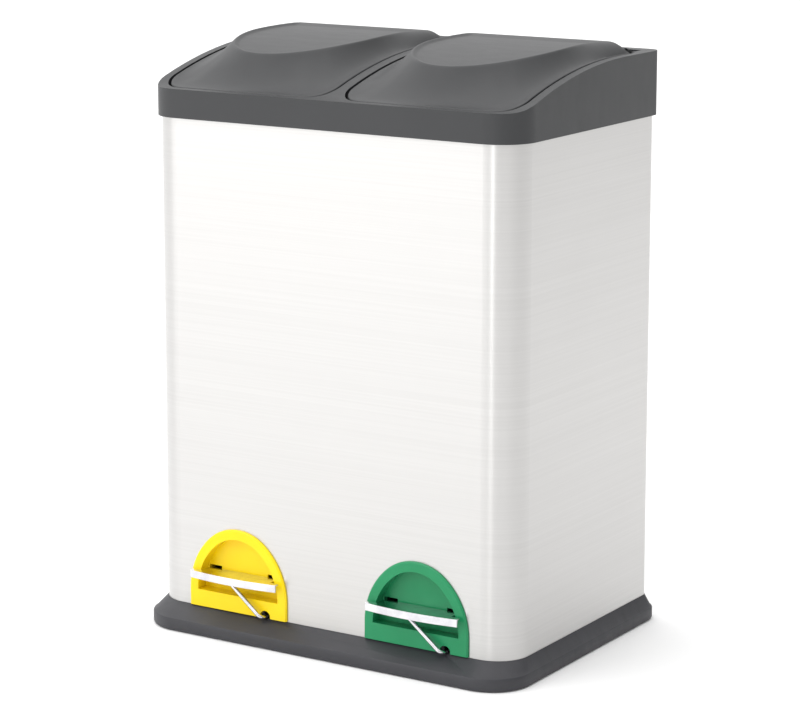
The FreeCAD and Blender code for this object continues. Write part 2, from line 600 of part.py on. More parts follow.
def makeCollar():
    def full(sketch):
        sleeveOutline(sketch, "collarOverhang")

    def cored(sketch):
        sleeveOutline(sketch, "collarOverhang - collarWall")

    def plug(sketch):
        sleeveOutline(sketch, "-plugInset")

    shell = risingSlab("CollarShell", "sleeveTop - plugDepth", [0], full)
    outer = newSketch("CollarLapTrim", "XY", "sleeveTop - plugDepth - clearance")
    sleeveOutline(outer, "collarOverhang + clearance")
    sleeveOutline(outer, "-insideSteel")
    channel = newSketch("CollarChannel", "XY", "collarBottom - clearance")
    sleeveOutline(channel, "fitGap")
    sleeveOutline(channel, "-insideSteel")
    core = risingSlab("CollarCore", "sleeveTop + plasticWall", ["-deckWall"], cored)
    inside = sleevePrism("CollarInside", "-plugInset", "sleeveTop - plugDepth - clearance",
                         "sleeveTop + plasticWall + clearance")
    frame = cut("CollarFrame", shell, extrude(outer, "plugDepth - collarLap + clearance"),
                extrude(channel, "collarLap + clearance"), core, inside)
    seatBack = "sleeveBack - plugInset + bite"
    seat = risingSlab("CollarSeat", ["-ledgeDrop - plasticWall"], ["0"],
                      bayOutline("lidGap + plasticWall", "lidFront - lidGap - plasticWall", seatBack,
                                 "lidCorner + lidGap + plasticWall"))
    throat = risingSlab("CollarThroat", "throatLevel", ["-ledgeDrop - plasticWall / 2"],
                        bayOutline("plasticWall - ledgeWidth", "lidFront + ledgeWidth - plasticWall", seatBack,
                                   "lidCorner + plasticWall - ledgeWidth"))
    bosses = []
    holes = []
    for name, side in sides:
        for end in ("-", "+"):
            wall = "(%sbayOffset %s throatHalfWidth)" % (side, end)
            low, high = (wall + "- plasticWall - bossLength", wall) if end == "-" else \
                        (wall, wall + "+ plasticWall + bossLength")
            bosses.append(rod("CollarBoss", "YZ", "hingeLine", "hingeLevel", low, high, "bossRadius"))
            holes.append(rod("CollarPivot", "YZ", "hingeLine", "hingeLevel", low + "- clearance",
                             high + "+ clearance", "hingePinRadius + runningGap"))
        guide = "(%sbayOffset + rodOffset)" % side
        bosses.append(block("CollarGuide", guide + "- guideHalf", guide + "+ guideHalf", "rodLine - guideFront",
                            seatBack, "throatLevel - guideLow", "throatLevel - guideHigh"))
        holes.append(rod("CollarGuideHole", "XY", guide, "rodLine", "throatLevel - guideLow - clearance",
                         "throatLevel", "rodRadius + runningGap"))
        bosses.append(rod("CollarScrewBoss", "XZ", side + "screwSpread", "collarScrewLevel",
                          "sleeveBack - plugInset - screwLength + clearance", "sleeveBack - plugInset + bite",
                          "screwHead"))
        holes.append(rod("CollarScrewPilot", "XZ", side + "screwSpread", "collarScrewLevel",
                         "sleeveBack - sleeveWall - screwLength", "sleeveBack + clearance", "screwRadius"))
    recess = risingSlab("CollarRecess", ["-ledgeDrop"], "deckLevel + clearance",
                        bayOutline("lidGap", "lidFront - lidGap", "deckFront", "lidCorner + lidGap"))
    way = risingSlab("CollarWay", "sleeveTop - plugDepth - clearance", ["-deckWall"],
                     bayOutline("-ledgeWidth", "lidFront + ledgeWidth", "sleeveBack - plugInset",
                                "lidCorner - ledgeWidth"))
    walls = cut("CollarWalls", fuse("CollarRings", frame, seat, throat), recess, way)
    keep(cut("Collar", fuse("CollarSolids", walls, *bosses), *holes), "collar")


def makeBumpers():
    # Soft buttons on the ledge, two under the front of each lid.
    def draw(sketch):
        for name, side in sides:
            for x in ("- lidWidth / 4", "+ lidWidth / 4"):
                middle = side + "bayOffset" + x
                drawBox(sketch, middle + "- bumperLength / 2", middle + "+ bumperLength / 2",
                        "lidFront - lidGap / 2", "lidFront + ledgeWidth - softGap")

    keep(risingSlab("Bumpers", ["-ledgeDrop"], ["-lidSkirt - softGap"], draw), "lid_bumpers")


# ---- lids: a dished crown with hollow flanks that meets the collar's rising line ----

def riseAt(y):
    # Height of the collar's side line at y.
    if y <= size("riseStart"):
        return size("frontLevel")
    if y < size("bendFront"):
        radius = size("riseBlend")
        return size("frontLevel") + radius - math.sqrt(radius ** 2 - (y - size("riseStart")) ** 2)
    if y < size("crestStart"):
        radius = size("crestRadius")
        return size("deckLevel") - radius + math.sqrt(radius ** 2 - (y - size("crestStart")) ** 2)
    return size("deckLevel")


def softPart(t, softness):
    # The positive part of t, with its corner at zero rounded off.
    return (t + math.hypot(t, softness)) / 2


def smoothStep(t):
    t = min(max(t, 0.0), 1.0)
    return t * t * (3 - 2 * t)


def makeLidSkin():
    # The lid's top as one smooth surface: the rising line at the edge, a dished plateau in
    # the middle, a hollow flank between them, and a straight slope down to the hinge roll.
    halfWidth = size("lidWidth / 2")
    front = size("lidFront")
    plateauFront = front + size("plateauStart")
    plateauBack = plateauFront + size("plateauLength")
    noseCentre = plateauFront + size("plateauNose")
    reach = size("plateauHalfWidth")
    corner = size("lidCorner")
    slope = math.tan(math.radians(size("backSlope")))
    backLevel = size("deckLevel + plateauRise")
    plateauSlope, plateauSag = size("plateauSlope"), size("plateauSag")
    nose, dishBlend, dishDepth = size("plateauNose"), size("dishBlend"), size("dishDepth")
    power, softness = size("flankPower"), size("creaseSoftness")

    def height(x, y):
        along = y - plateauBack
        roof = backLevel - plateauSlope * min(along, 0) - plateauSag * min(along, 0) ** 2
        roof -= slope * softPart(along, softness)
        ahead = max(0.0, noseCentre - y)
        ring = math.hypot(x / reach, ahead / nose)
        spread = math.hypot(x / reach ** 2, ahead / nose ** 2) / max(ring, 0.001)
        outside = (ring - 1) / max(spread, 0.001)
        cornerX = abs(x) - (halfWidth - corner)
        cornerY = (front + corner) - y
        inside = corner - math.hypot(max(cornerX, 0), max(cornerY, 0)) - min(max(cornerX, cornerY), 0)
        inside = max(inside, 0.0)
        blend = inside / (inside + softPart(outside, softness))
        dish = dishDepth * smoothStep(-outside / dishBlend) * smoothStep((plateauBack - y) / dishBlend)
        return riseAt(y) + (roof - riseAt(y)) * blend ** power - dish

    margin = size("skinMargin")
    back = size("hingeLine + rollRadius * sin(backSlope)")
    columns = evenly(-halfWidth - margin, halfWidth + margin, 45)
    rows = evenly(front - margin, back, 57)
    grid = [[Vector(x, y, height(x, y)) for y in rows] for x in columns]
    surface = Part.BSplineSurface()
    surface.interpolate(grid)
    skin = doc.addObject("Part::Feature", "LidSkin")
    skin.Shape = surface.toShape().extrude(Vector(0, 0, -size("lidWall")))
    return skin


def evenly(low, high, count):
    return [low + (high - low) * k / (count - 1) for k in range(count)]


def lidPlan(grow, back):
    def draw(sketch):
        half = "(lidWidth / 2 + (%s))" % grow
        drawFlatBack(sketch, "-" + half, half, "lidFront - (%s)" % grow, back, "lidCorner + (%s)" % grow)
    return draw


def rollPoint(angle, radius):
    # A place on the hinge roll, as formulas for y and z.
    return ("hingeLine + (%s) * cos(%s)" % (radius, angle), "hingeLevel + (%s) * sin(%s)" % (radius, angle))


def makeLid(name, side):
    skinPlan = newSketch("LidPlan", "XY", "collarBottom")
    lidPlan("0", "hingeLine + rollRadius * sin(backSlope)")(skinPlan)
    skin = common("LidTop", makeLidSkin(), extrude(skinPlan, "2 * collarBackHeight"))
    rim = cut("LidRim", risingSlab("LidRimOuter", ["-lidSkirt"], ["-lidWall / 2"],
                                   lidPlan("0", "hingeLine - rimBack")),
              risingSlab("LidRimInner", ["-lidSkirt - clearance"], ["clearance"],
                         lidPlan("-lidRimWall", "hingeLine - rimBack + clearance")))
    top = "90 - backSlope"
    inner = "(rollRadius - lidWall)"
    rollProfile = newSketch("LidRoll", "YZ", "-rollHalfWidth")
    drawOutline(rollProfile, [
        rollPoint("-rollEnd", "rollRadius"),
        rollPoint(top, "rollRadius") + ("hingeLine", "hingeLevel", 1),
        rollPoint(top, inner),
        rollPoint("-rollEnd", inner) + ("hingeLine", "hingeLevel", -1),
    ])
    roll = extrude(rollProfile, "2 * rollHalfWidth", "YZ")
    solids = [skin, rim, roll]
    for end in ("-rollHalfWidth", "rollHalfWidth - cheekWidth"):
        cheek = newSketch("LidCheek", "YZ", end)
        drawOutline(cheek, [
            rollPoint("-rollEnd", "rollRadius - bite"),
            rollPoint(top, "rollRadius - bite") + ("hingeLine", "hingeLevel", 1),
            ("hingeLine - cheekFront", "hingeLevel + cheekTop"),
            ("hingeLine - bossRadius", "hingeLevel"),
            ("hingeLine", "hingeLevel - bossRadius", "hingeLine", "hingeLevel", 1),
        ])
        solids.append(extrude(cheek, "cheekWidth", "YZ"))
    lugX = "rodOffset"
    for place in ("- forkHalf - lugWidth", "+ forkHalf"):
        lug = newSketch("LidLug", "YZ", lugX + place)
        edge = "(rollRadius - lidWall)"
        drawOutline(lug, [
            rollPoint("lugRestAngle - 20", edge),
            ("lugLine + lugRim * sin(lugRestAngle)", "lugLevel - lugRim * cos(lugRestAngle)"),
            ("lugLine - lugRim * sin(lugRestAngle)", "lugLevel + lugRim * cos(lugRestAngle)",
             "lugLine", "lugLevel", 1),
            rollPoint("lugRestAngle + 30", edge),
            rollPoint("lugRestAngle + 40", "bossRadius"),
            rollPoint("lugRestAngle - 40", "bossRadius"),
        ])
        solids.append(extrude(lug, "lugWidth", "YZ"))
    window = block("LidWindow", lugX + "- forkHalf", lugX + "+ forkHalf",
                   "hingeLine + bossRadius - clearance", "hingeLine + rollRadius + clearance",
                   "hingeLevel - rollRadius",
                   "lugLevel + lugPinRadius + slotPlay + rodRim + clearance")
    holes = [rod("LidPinHole", "YZ", "hingeLine", "hingeLevel", "-rollHalfWidth - clearance",
                 "cheekWidth - rollHalfWidth + runningGap", "hingePinRadius"),
             rod("LidPinHole", "YZ", "hingeLine", "hingeLevel", "rollHalfWidth - cheekWidth - runningGap",
                 "rollHalfWidth + clearance", "hingePinRadius"),
             rod("LidLugHole", "YZ", "lugLine", "lugLevel", lugX + "- forkHalf - lugWidth - clearance",
                 lugX + "+ forkHalf + lugWidth + clearance", "lugPinRadius")]
    reliefs = [block("LidRelief", low, high, "hingeLine - hingeRelief", "hingeLine + rollRadius * 2",
                     "hingeLevel - rollRadius", "deckLevel + plateauRise")
               for low, high in (("-lidWidth / 2 - clearance", "-rollHalfWidth"),
                                 ("rollHalfWidth", "lidWidth / 2 + clearance"))]
    keep(cut("Lid", fuse("LidSolids", *solids), window, *reliefs, *holes), "lid_" + name, side)


def makeHingePins(name, side):
    # Two stub pins, pressed into the lid's cheeks and turning in the collar's bosses.
    body = doc.addObject("PartDesign::Body", "HingePinBody")
    for start in ("-rollHalfWidth - hingePinLength + cheekWidth", "rollHalfWidth - cheekWidth"):
        sketch = newSketch("HingePin", "YZ", start, body)
        drawCircle(sketch, "hingeLine", "hingeLevel", "hingePinRadius")
        pad(body, sketch, "hingePinLength", "YZ")
    keep(body, "lid_hinge_pins_" + name, side)


def makeLugPin(name, side):
    body = doc.addObject("PartDesign::Body", "LugPinBody")
    sketch = newSketch("LugPin", "YZ", "rodOffset - forkHalf - lugWidth", body)
    drawCircle(sketch, "lugLine", "lugLevel", "lugPinRadius")
    pad(body, sketch, "2 * forkHalf + 2 * lugWidth", "YZ")
    keep(body, "lug_pin_" + name, side)


def makePullRod(name, side):
    # A round rod with a flat slotted head for the lid's lug pin and a flat eye for the crank.
    body = doc.addObject("PartDesign::Body", "RodBody")
    eyeLevel = "crankRearLevel"
    shank = newSketch("RodShank", "XY", eyeLevel + "+ wireRadius + eyePlay", body)
    drawCircle(shank, "rodOffset", "rodLine", "rodRadius")
    pad(body, shank, "lugLevel - lugPinRadius - slotPlay - (%s) - wireRadius - eyePlay" % eyeLevel)
    head = newSketch("RodHead", "YZ", "rodOffset - rodPlate / 2", body)
    slotHalf = "((lugReachMost - lugReachLeast) / 2 + slotPlay / 2)"
    for radius in ("lugPinRadius + slotPlay + rodRim", "lugPinRadius + slotPlay"):
        drawOutline(head, [
            ("rodLine -" + slotHalf, "lugLevel - (%s)" % radius),
            ("rodLine +" + slotHalf, "lugLevel - (%s)" % radius),
            ("rodLine +" + slotHalf, "lugLevel + (%s)" % radius, "rodLine +" + slotHalf, "lugLevel", 1),
            ("rodLine -" + slotHalf, "lugLevel + (%s)" % radius),
            ("rodLine -" + slotHalf, "lugLevel - (%s)" % radius, "rodLine -" + slotHalf, "lugLevel", 1),
        ][1:])
    pad(body, head, "rodPlate", "YZ")
    eye = newSketch("RodEye", "XZ", "rodLine - rodPlate / 2", body)
    drawCircle(eye, "rodOffset", eyeLevel, "wireRadius + eyePlay + eyeRim")
    drawCircle(eye, "rodOffset", eyeLevel, "wireRadius + eyePlay")
    pad(body, eye, "rodPlate", "XZ")
    keep(body, "pull_rod_" + name, side)


# ---- crank: one bent wire that turns in the base and joins the pedal to the pull rod ----

def makeCrank(name, side):
    tip = Vector(size("crankShaft - crankReach"), size("pedalPinLine - crankTip"), size("crankTipLevel"))
    front = Vector(size("crankShaft"), size("crankFrontLine"), size("crankLevel"))
    rear = Vector(size("crankShaft"), size("crankRearLine"), size("crankLevel"))
    hook = Vector(size("crankRearX"), size("crankRearLine"), size("crankRearLevel"))
    end = hook + Vector(0, size("crankHook"), 0)
    radius = size("wireRadius")
    wire = bentWire([tip, front, rear, hook, end], size("wireBend"), radius)
    crank = doc.addObject("Part::Feature", "Crank")
    crank.Shape = wire.fuse(Part.makeSphere(radius, tip))
    crank.Placement = Placement(Vector(), Rotation())
    keep(crank, "crank_wire_" + name, side)


def saddlePlaces():
    # The middle of each crank shaft with the line of each of its two saddles.
    for name, side in sides:
        for place in ("bearingFront", "bearingBack"):
            yield "(%sbayOffset + crankShaft)" % side, place


def makeClips():
    # Straps that close the saddles over the crank shafts, with a screw through each ear.
    clips = []
    screws = []
    for middle, place in saddlePlaces():
        profile = newSketch("ClipProfile", "XZ", place + "- bearingDepth / 2")
        half = "bearingWidth / 2"
        earLevel = "crankLevel + clipHeight / 2"
        drawOutline(profile, [
            (middle + "-" + half, "crankLevel"),
            (middle + "- wireRadius - runningGap", "crankLevel"),
            (middle + "+ wireRadius + runningGap", "crankLevel", middle, "crankLevel", -1),
            (middle + "+" + half, "crankLevel"),
            (middle + "+" + half, earLevel),
            (middle + "+ clipCrown + clipSlope", earLevel),
            (middle + "+ clipCrown", "crankLevel + clipHeight"),
            (middle + "- clipCrown", "crankLevel + clipHeight"),
            (middle + "- clipCrown - clipSlope", earLevel),
            (middle + "-" + half, earLevel),
        ])
        strap = extrude(profile, "bearingDepth", "XZ")
        for x in ("- clipScrewSpread", "+ clipScrewSpread"):
            strap = cut("ClipDrilled", strap, rod("ClipHole", "XY", middle + x, place, "crankLevel - clearance",
                                                  "crankLevel + clipHeight", "screwRadius + runningGap"))
            screws.append(screw("XY", middle + x, place, earLevel))
        clips.append(strap)
    group("Clips", clips, "shaft_clips")
    group("ClipScrews", screws, "clip_screws")


def screw(plane, first, second, seat):
    # A pan-headed screw whose head stands on the seat, pointing down or forwards.
    shank = rod("ScrewShank", plane, first, second, seat + "- screwLength", seat, "screwRadius")
    head = rod("ScrewHead", plane, first, second, seat, seat + "+ screwHeadHeight", "screwHead")
    return fuse("Screw", shank, head)


def group(name, solids, label):
    # Separate solids of one kind under one name.
    feature = doc.addObject("Part::Compound", name)
    feature.Links = solids
    keep(feature, label)


# ---- bezels and pedals ----

def makeBezel(name, side, colour):
    foot = "ledgeTop + fitGap"
    face = archPrism("BezelFace", "0", foot, "bezelFace + bezelSoftness", "sleeveFront")
    edges = []
    for level, grow in (("bezelFace", "-bezelSoftness"), ("bezelFace + bezelSoftness", "0")):
        edge = newSketch("BezelEdge", "XZ", level)
        drawArch(edge, "0", grow, foot)
        edges.append(edge)
    front = doc.addObject("Part::Loft", "BezelFront")
    front.Sections = edges
    front.Solid = True
    front.Ruled = True
    tub = archPrism("BezelTub", "plasticWall - bezelRim", "bezelSpring - plasticWall", "sleeveFront - bite",
                    "recessBack + plasticWall")
    hook = block("BezelHook", "-hookWidth / 2", "hookWidth / 2", "sleeveFront + sleeveWall + hookGap",
                 "sleeveFront + sleeveWall + hookGap + hookDepth",
                 "bezelSpring + bezelHeight - bezelRim + bite",
                 "bezelSpring + bezelHeight - bezelRim + plasticWall + fitGap + hookReach")
    recess = archPrism("BezelRecess", "-bezelRim", None, "bezelFace - clearance", "recessBack")
    notch = newSketch("BezelNotch", "XZ", "bezelFace - clearance")
    drawNotch(notch, "0", "notchRadius", "sleeveSeat")
    ears = []
    cuts = [recess, extrude(notch, "bezelProud + clearance + bite", "XZ")]
    earHalf = "armSpread + armWidth / 2 + fitGap"
    for low in ("-(%s) - earWidth" % earHalf, earHalf):
        ear = newSketch("BezelEar", "YZ", low)
        drawOutline(ear, [
            ("recessBack + plasticWall - bite", "pedalPinLevel - earRoot"),
            ("pedalPinLine", "pedalPinLevel - earTip"),
            ("pedalPinLine", "pedalPinLevel + earTip", "pedalPinLine", "pedalPinLevel", 1),
            ("recessBack + plasticWall - bite", "pedalPinLevel + earRoot"),
        ])
        ears.append(extrude(ear, "earWidth", "YZ"))
    cuts.append(rod("BezelPinHole", "YZ", "pedalPinLine", "pedalPinLevel", "-bezelHalfWidth", "bezelHalfWidth",
                    "pedalPinRadius"))
    for x in ("-armSpread", "armSpread"):
        cuts.append(block("BezelSlot", x + "- armWidth / 2 - armSlotGap", x + "+ armWidth / 2 + armSlotGap",
                          "recessBack - clearance", "recessBack + plasticWall + clearance",
                          "pedalUnder - armSlotDrop", "pedalTop + slotRise"))
    keep(cut("BezelCut", fuse("BezelSolids", front, face, tub, hook, *ears), *cuts), "bezel_" + colour, side)


def makePedal(name, side):
    # Pressed plate with a bowed lip in front and two arms that turn on the pin.
    body = doc.addObject("PartDesign::Body", "PedalBody")
    front = "(pedalPinLine - pedalReach)"
    ends = "(%s + pedalBow)" % front
    half = "(pedalWidth / 2)"
    bow = "((%s ^ 2 + pedalBow ^ 2) / (2 * pedalBow))" % half
    plate = newSketch("PedalPlate", "XY", "pedalUnder", body)
    armBack = "pedalPinLine"
    drawOutline(plate, [
        (half, ends, "0", front + "+" + bow, 1),
        (half, front + "+ pedalBar"),
        ("pedalNeck", front + "+ pedalBar"),
        ("pedalNeck", "recessBack - armRelief"),
        ("armSpread + armWidth / 2", "recessBack - armRelief"),
        ("armSpread + armWidth / 2", armBack),
        ("armSpread - armWidth / 2", armBack),
        ("armSpread - armWidth / 2", "recessBack - armRelief"),
        ("armWidth / 2 - armSpread", "recessBack - armRelief"),
        ("armWidth / 2 - armSpread", armBack),
        ("-armWidth / 2 - armSpread", armBack),
        ("-armWidth / 2 - armSpread", "recessBack - armRelief"),
        ("-pedalNeck", "recessBack - armRelief"),
        ("-pedalNeck", front + "+ pedalBar"),
        ("-" + half, front + "+ pedalBar"),
        ("-" + half, ends),
    ])
    pad(body, plate, "pedalPlate")
    lip = newSketch("PedalLip", "XY", "pedalTop - pedalLip", body)
    drawOutline(lip, [
        (half, ends, "0", front + "+" + bow, 1),
        (half, ends + "+ pedalPlate"),
        ("-" + half, ends + "+ pedalPlate", "0", front + "+ pedalPlate +" + bow, -1),
        ("-" + half, ends),
    ])
    pad(body, lip, "pedalLip - pedalPlate / 2")
    for x in ("-armSpread", "armSpread"):
        barrel = newSketch("PedalBarrel", "YZ", x + "- armWidth / 2", body)
        drawCircle(barrel, "pedalPinLine", "pedalPinLevel", "barrelRadius")
        pad(body, barrel, "armWidth", "YZ")
    bore = newSketch("PedalBore", "YZ", "-pedalWidth / 2", body)
    drawCircle(bore, "pedalPinLine", "pedalPinLevel", "pedalPinRadius + runningGap")
    pad(body, bore, "pedalWidth", "YZ", "Pocket")
    keep(body, "pedal_" + name, side)


def makePedalPin(name, side):
    body = doc.addObject("PartDesign::Body", "PedalPinBody")
    reach = "armSpread + armWidth / 2 + fitGap + earWidth"
    sketch = newSketch("PedalPin", "YZ", "-(%s)" % reach, body)
    drawCircle(sketch, "pedalPinLine", "pedalPinLevel", "pedalPinRadius")
    pad(body, sketch, "2 * (%s)" % reach, "YZ")
    keep(body, "pedal_pin_" + name, side)


# ---- buckets with their wire bails ----

def bucketOutline(sketch, inset):
    inset = "(%s)" % inset
    drawRounded(sketch, "-bucketHalfWidth +" + inset, "bucketHalfWidth -" + inset,
                "bucketFront + bucketFlange +" + inset, "bucketFront + bucketDepth - bucketFlange -" + inset,
                "bucketCorner -" + inset, "bucketCorner -" + inset)


def makeBucket(name, side):
    body = doc.addObject("PartDesign::Body", "BucketBody")

    def loft(label, kind, low, high, lowInset, highInset):
        sections = []
        for end, level, inset in (("Low", low, lowInset), ("High", high, highInset)):
            section = newSketch(label + end, "XY", level, body)
            bucketOutline(section, inset)
            sections.append(section)
        feature = body.newObject("PartDesign::" + kind + "Loft", label)
        feature.Profile = sections[0]
        feature.Sections = [sections[1]]
        feature.Ruled = True

    loft("BucketShell", "Additive", "bucketFoot", "bucketRim", "bucketDraft", "0")
    flange = newSketch("BucketFlange", "XY", "bucketRim - rimHeight", body)
    bucketOutline(flange, "-bucketFlange")
    bucketOutline(flange, "plasticWall - bucketFlange")
    pad(body, flange, "rimHeight")
    top = newSketch("BucketRimTop", "XY", "bucketRim - bucketWall", body)
    bucketOutline(top, "-bucketFlange")
    pad(body, top, "bucketWall")
    loft("BucketInside", "Subtractive", "bucketFoot + bucketWall", "bucketRim", "bucketDraft + bucketWall",
         "bucketWall")
    for start in ("-bucketHalfWidth - bailEar / 2", "bucketHalfWidth - bailEar / 2"):
        ear = newSketch("BucketEar", "YZ", start, body)
        drawOutline(ear, [
            ("bucketMiddle - bailEarRoot", "bucketRim - bucketWall / 2"),
            ("bucketMiddle + bailEarRoot", "bucketRim - bucketWall / 2"),
            ("bucketMiddle + bailEarTip", "bailLevel"),
            ("bucketMiddle - bailEarTip", "bailLevel", "bucketMiddle", "bailLevel", 1),
        ])
        pad(body, ear, "bailEar", "YZ")
    bore = newSketch("BucketEarBore", "YZ", "-lidWidth / 2", body)
    drawCircle(bore, "bucketMiddle", "bailLevel", "bailRadius + runningGap")
    pad(body, bore, "lidWidth", "YZ", "Pocket")
    keep(body, "inner_bucket_" + name, side)


def makeBail(name, side):
    reach = size("bucketHalfWidth + bailEar / 2")
    arm = size("bucketHalfWidth - bailEar / 2 - softGap - bailRadius")
    level = size("bailLevel")
    middle = size("bucketMiddle")
    front = size("bucketFront + gripRadius + softGap")
    points = [Vector(-reach, middle, level), Vector(-arm, middle, level), Vector(-arm, front, level),
              Vector(arm, front, level), Vector(arm, middle, level), Vector(reach, middle, level)]
    bail = doc.addObject("Part::Feature", "Bail")
    bail.Shape = bentWire(points, size("bailRadius") * 1.05, size("bailRadius"))
    keep(bail, "bucket_bail_" + name, side)
    grip = doc.addObject("PartDesign::Body", "GripBody")
    sketch = newSketch("Grip", "YZ", "-gripLength / 2", grip)
    for radius in ("gripRadius", "bailRadius"):
        drawCircle(sketch, "bucketFront + gripRadius + softGap", "bailLevel", radius)
    pad(grip, sketch, "gripLength", "YZ")
    keep(grip, "bail_grip_" + name, side)


screwLevels = ("baseScrewLevel", "collarScrewLevel")
makeSleeve()
makeBase()
makeFeet()
makeCollar()
makeBumpers()
for name, side in sides:
    makeLid(name, side)
    makeHingePins(name, side)
    makeLugPin(name, side)
    makePullRod(name, side)
    makeCrank(name, side)
    makePedal(name, side)
    makePedalPin(name, side)
    makeBucket(name, side)
    makeBail(name, side)
makeBezel("left", "-", "yellow")
makeBezel("right", "", "green")
makeClips()
for label, level in (("base_screws", "baseScrewLevel"), ("collar_screws", "collarScrewLevel")):
    screws = [screw("XZ", side + "screwSpread", level, "sleeveBack") for name, side in sides]
    group("Screws", screws, label)

doc.recompute()
broken = [item.Name for item in doc.Objects if {"Invalid", "Error"} & set(item.State)]
broken += [item.Label for item in parts if item.Shape.isNull() or not item.Shape.isValid()]
if broken:
    raise RuntimeError("not built: " + ", ".join(broken))
os.makedirs("parts", exist_ok=True)
for item in parts:
    item.Shape.exportStep("parts/" + item.Label + ".step")
    print(item.Label, len(item.Shape.Solids), round(item.Shape.Volume / 1000, 2), "cm3")
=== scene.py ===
import json
import math
import bmesh
import bpy
import numpy as np
from mathutils import Matrix, Vector


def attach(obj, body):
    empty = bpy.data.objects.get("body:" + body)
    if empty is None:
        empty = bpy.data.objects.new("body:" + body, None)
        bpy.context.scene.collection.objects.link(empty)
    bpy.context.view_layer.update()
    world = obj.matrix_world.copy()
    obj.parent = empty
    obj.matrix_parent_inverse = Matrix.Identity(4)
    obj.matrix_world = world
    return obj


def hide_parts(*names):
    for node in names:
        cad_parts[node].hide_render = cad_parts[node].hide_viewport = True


# Double recycling bin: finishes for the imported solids, softened mouldings, smooth lids, covers
# over the hinge sockets, a pale studio and a camera at the photograph's angle. Lengths are in metres.

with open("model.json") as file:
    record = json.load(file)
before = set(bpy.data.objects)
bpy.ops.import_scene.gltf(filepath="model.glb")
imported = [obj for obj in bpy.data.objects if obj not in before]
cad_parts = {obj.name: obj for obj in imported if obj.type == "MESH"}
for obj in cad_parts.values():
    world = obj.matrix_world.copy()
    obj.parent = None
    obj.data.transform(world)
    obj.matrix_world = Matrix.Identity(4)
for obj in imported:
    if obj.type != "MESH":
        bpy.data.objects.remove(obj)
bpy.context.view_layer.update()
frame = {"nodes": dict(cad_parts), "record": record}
print("frame loaded:", len(frame["nodes"]), "nodes")

behaviour = frame["record"]["behaviour"]
slotOf = {row["node"]: row["material_slot"] for row in frame["record"]["subparts"]}
bodyOf = {node: body for body, nodes in behaviour["bodies"].items() for node in nodes}
hingeOf = {joint["child"]: joint["pos_m"] for joint in behaviour["joints"] if joint["type"] == "hinge"}
bays = [(side, hingeOf["lid_" + side][0]) for side in ("left", "right")]  # each side and its middle
hinge = tuple(hingeOf["lid_left"][1:])  # the lids' hinge line in y and z


def freshMaterial(name):
    # A new material with its node tree and its main shader.
    material = bpy.data.materials.new(name)
    material.use_nodes = True
    tree = material.node_tree
    shader = next(node for node in tree.nodes if node.type == "BSDF_PRINCIPLED")
    return material, tree, shader


def place(tree, kind, **settings):
    # One node, with its settings by name.
    node = tree.nodes.new("ShaderNode" + kind)
    for key, value in settings.items():
        setattr(node, key, value)
    return node


def wire(tree, source, target):
    tree.links.new(source, target)


def stretched(tree, scale=(1, 1, 1)):
    # Object coordinates, stretched by a Mapping node so that a pattern can run in streaks.
    coordinate = place(tree, "TexCoord")
    mapping = place(tree, "Mapping")
    mapping.inputs["Scale"].default_value = scale
    wire(tree, coordinate.outputs["Object"], mapping.inputs["Vector"])
    return mapping.outputs["Vector"]


def noise(tree, vector, scale, detail, rough=0.5):
    # A cloudy pattern from 0 to 1.
    pattern = place(tree, "TexNoise")
    pattern.inputs["Scale"].default_value = scale
    pattern.inputs["Detail"].default_value = detail
    pattern.inputs["Roughness"].default_value = rough
    wire(tree, vector, pattern.inputs["Vector"])
    return pattern.outputs["Fac"]


def spread(tree, value, low, high, fromLow=0.3, fromHigh=0.7, curve="LINEAR"):
    # Maps a stretch of values, by default a pattern's middle range, onto low to high.
    ranger = place(tree, "MapRange", interpolation_type=curve)
    for key, number in (("From Min", fromLow), ("From Max", fromHigh), ("To Min", low), ("To Max", high)):
        ranger.inputs[key].default_value = number
    wire(tree, value, ranger.inputs["Value"])
    return ranger.outputs["Result"]


def twoTone(tree, factor, first, second):
    # A colour between two, which are the Mix node's colour sockets 6 and 7.
    mixer = place(tree, "Mix", data_type="RGBA")
    mixer.inputs[6].default_value = (*first, 1)
    mixer.inputs[7].default_value = (*second, 1)
    wire(tree, factor, mixer.inputs[0])
    return mixer.outputs[2]


def bumped(tree, shader, height, distance):
    # Relief from a pattern, distance deep.
    bump = place(tree, "Bump")
    bump.inputs["Distance"].default_value = distance
    wire(tree, height, bump.inputs["Height"])
    wire(tree, bump.outputs["Normal"], shader.inputs["Normal"])


def mouldedPlastic(name, look):
    # Moulded plastic: a fine spark-eroded grain, slow shade drift and handling marks in the gloss.
    material, tree, shader = freshMaterial(name)
    plain = stretched(tree)
    drift = noise(tree, plain, look["driftScale"], detail=3)
    grain = noise(tree, plain, look["grainScale"], detail=2, rough=0.6)
    tone = twoTone(tree, spread(tree, drift, 0, 1), look["dark"], look["light"])
    wire(tree, tone, shader.inputs["Base Color"])
    rub = noise(tree, stretched(tree, look["rubStretch"]), look["rubScale"], detail=5, rough=0.65)
    wire(tree, spread(tree, rub, look["smooth"], look["rough"]), shader.inputs["Roughness"])
    bumped(tree, shader, grain, look["grainDepth"])
    shader.inputs["Specular IOR Level"].default_value = look["specular"]
    shader.inputs["Coat Weight"].default_value = look["coat"]
    shader.inputs["Coat Roughness"].default_value = look["coatRoughness"]
    return material


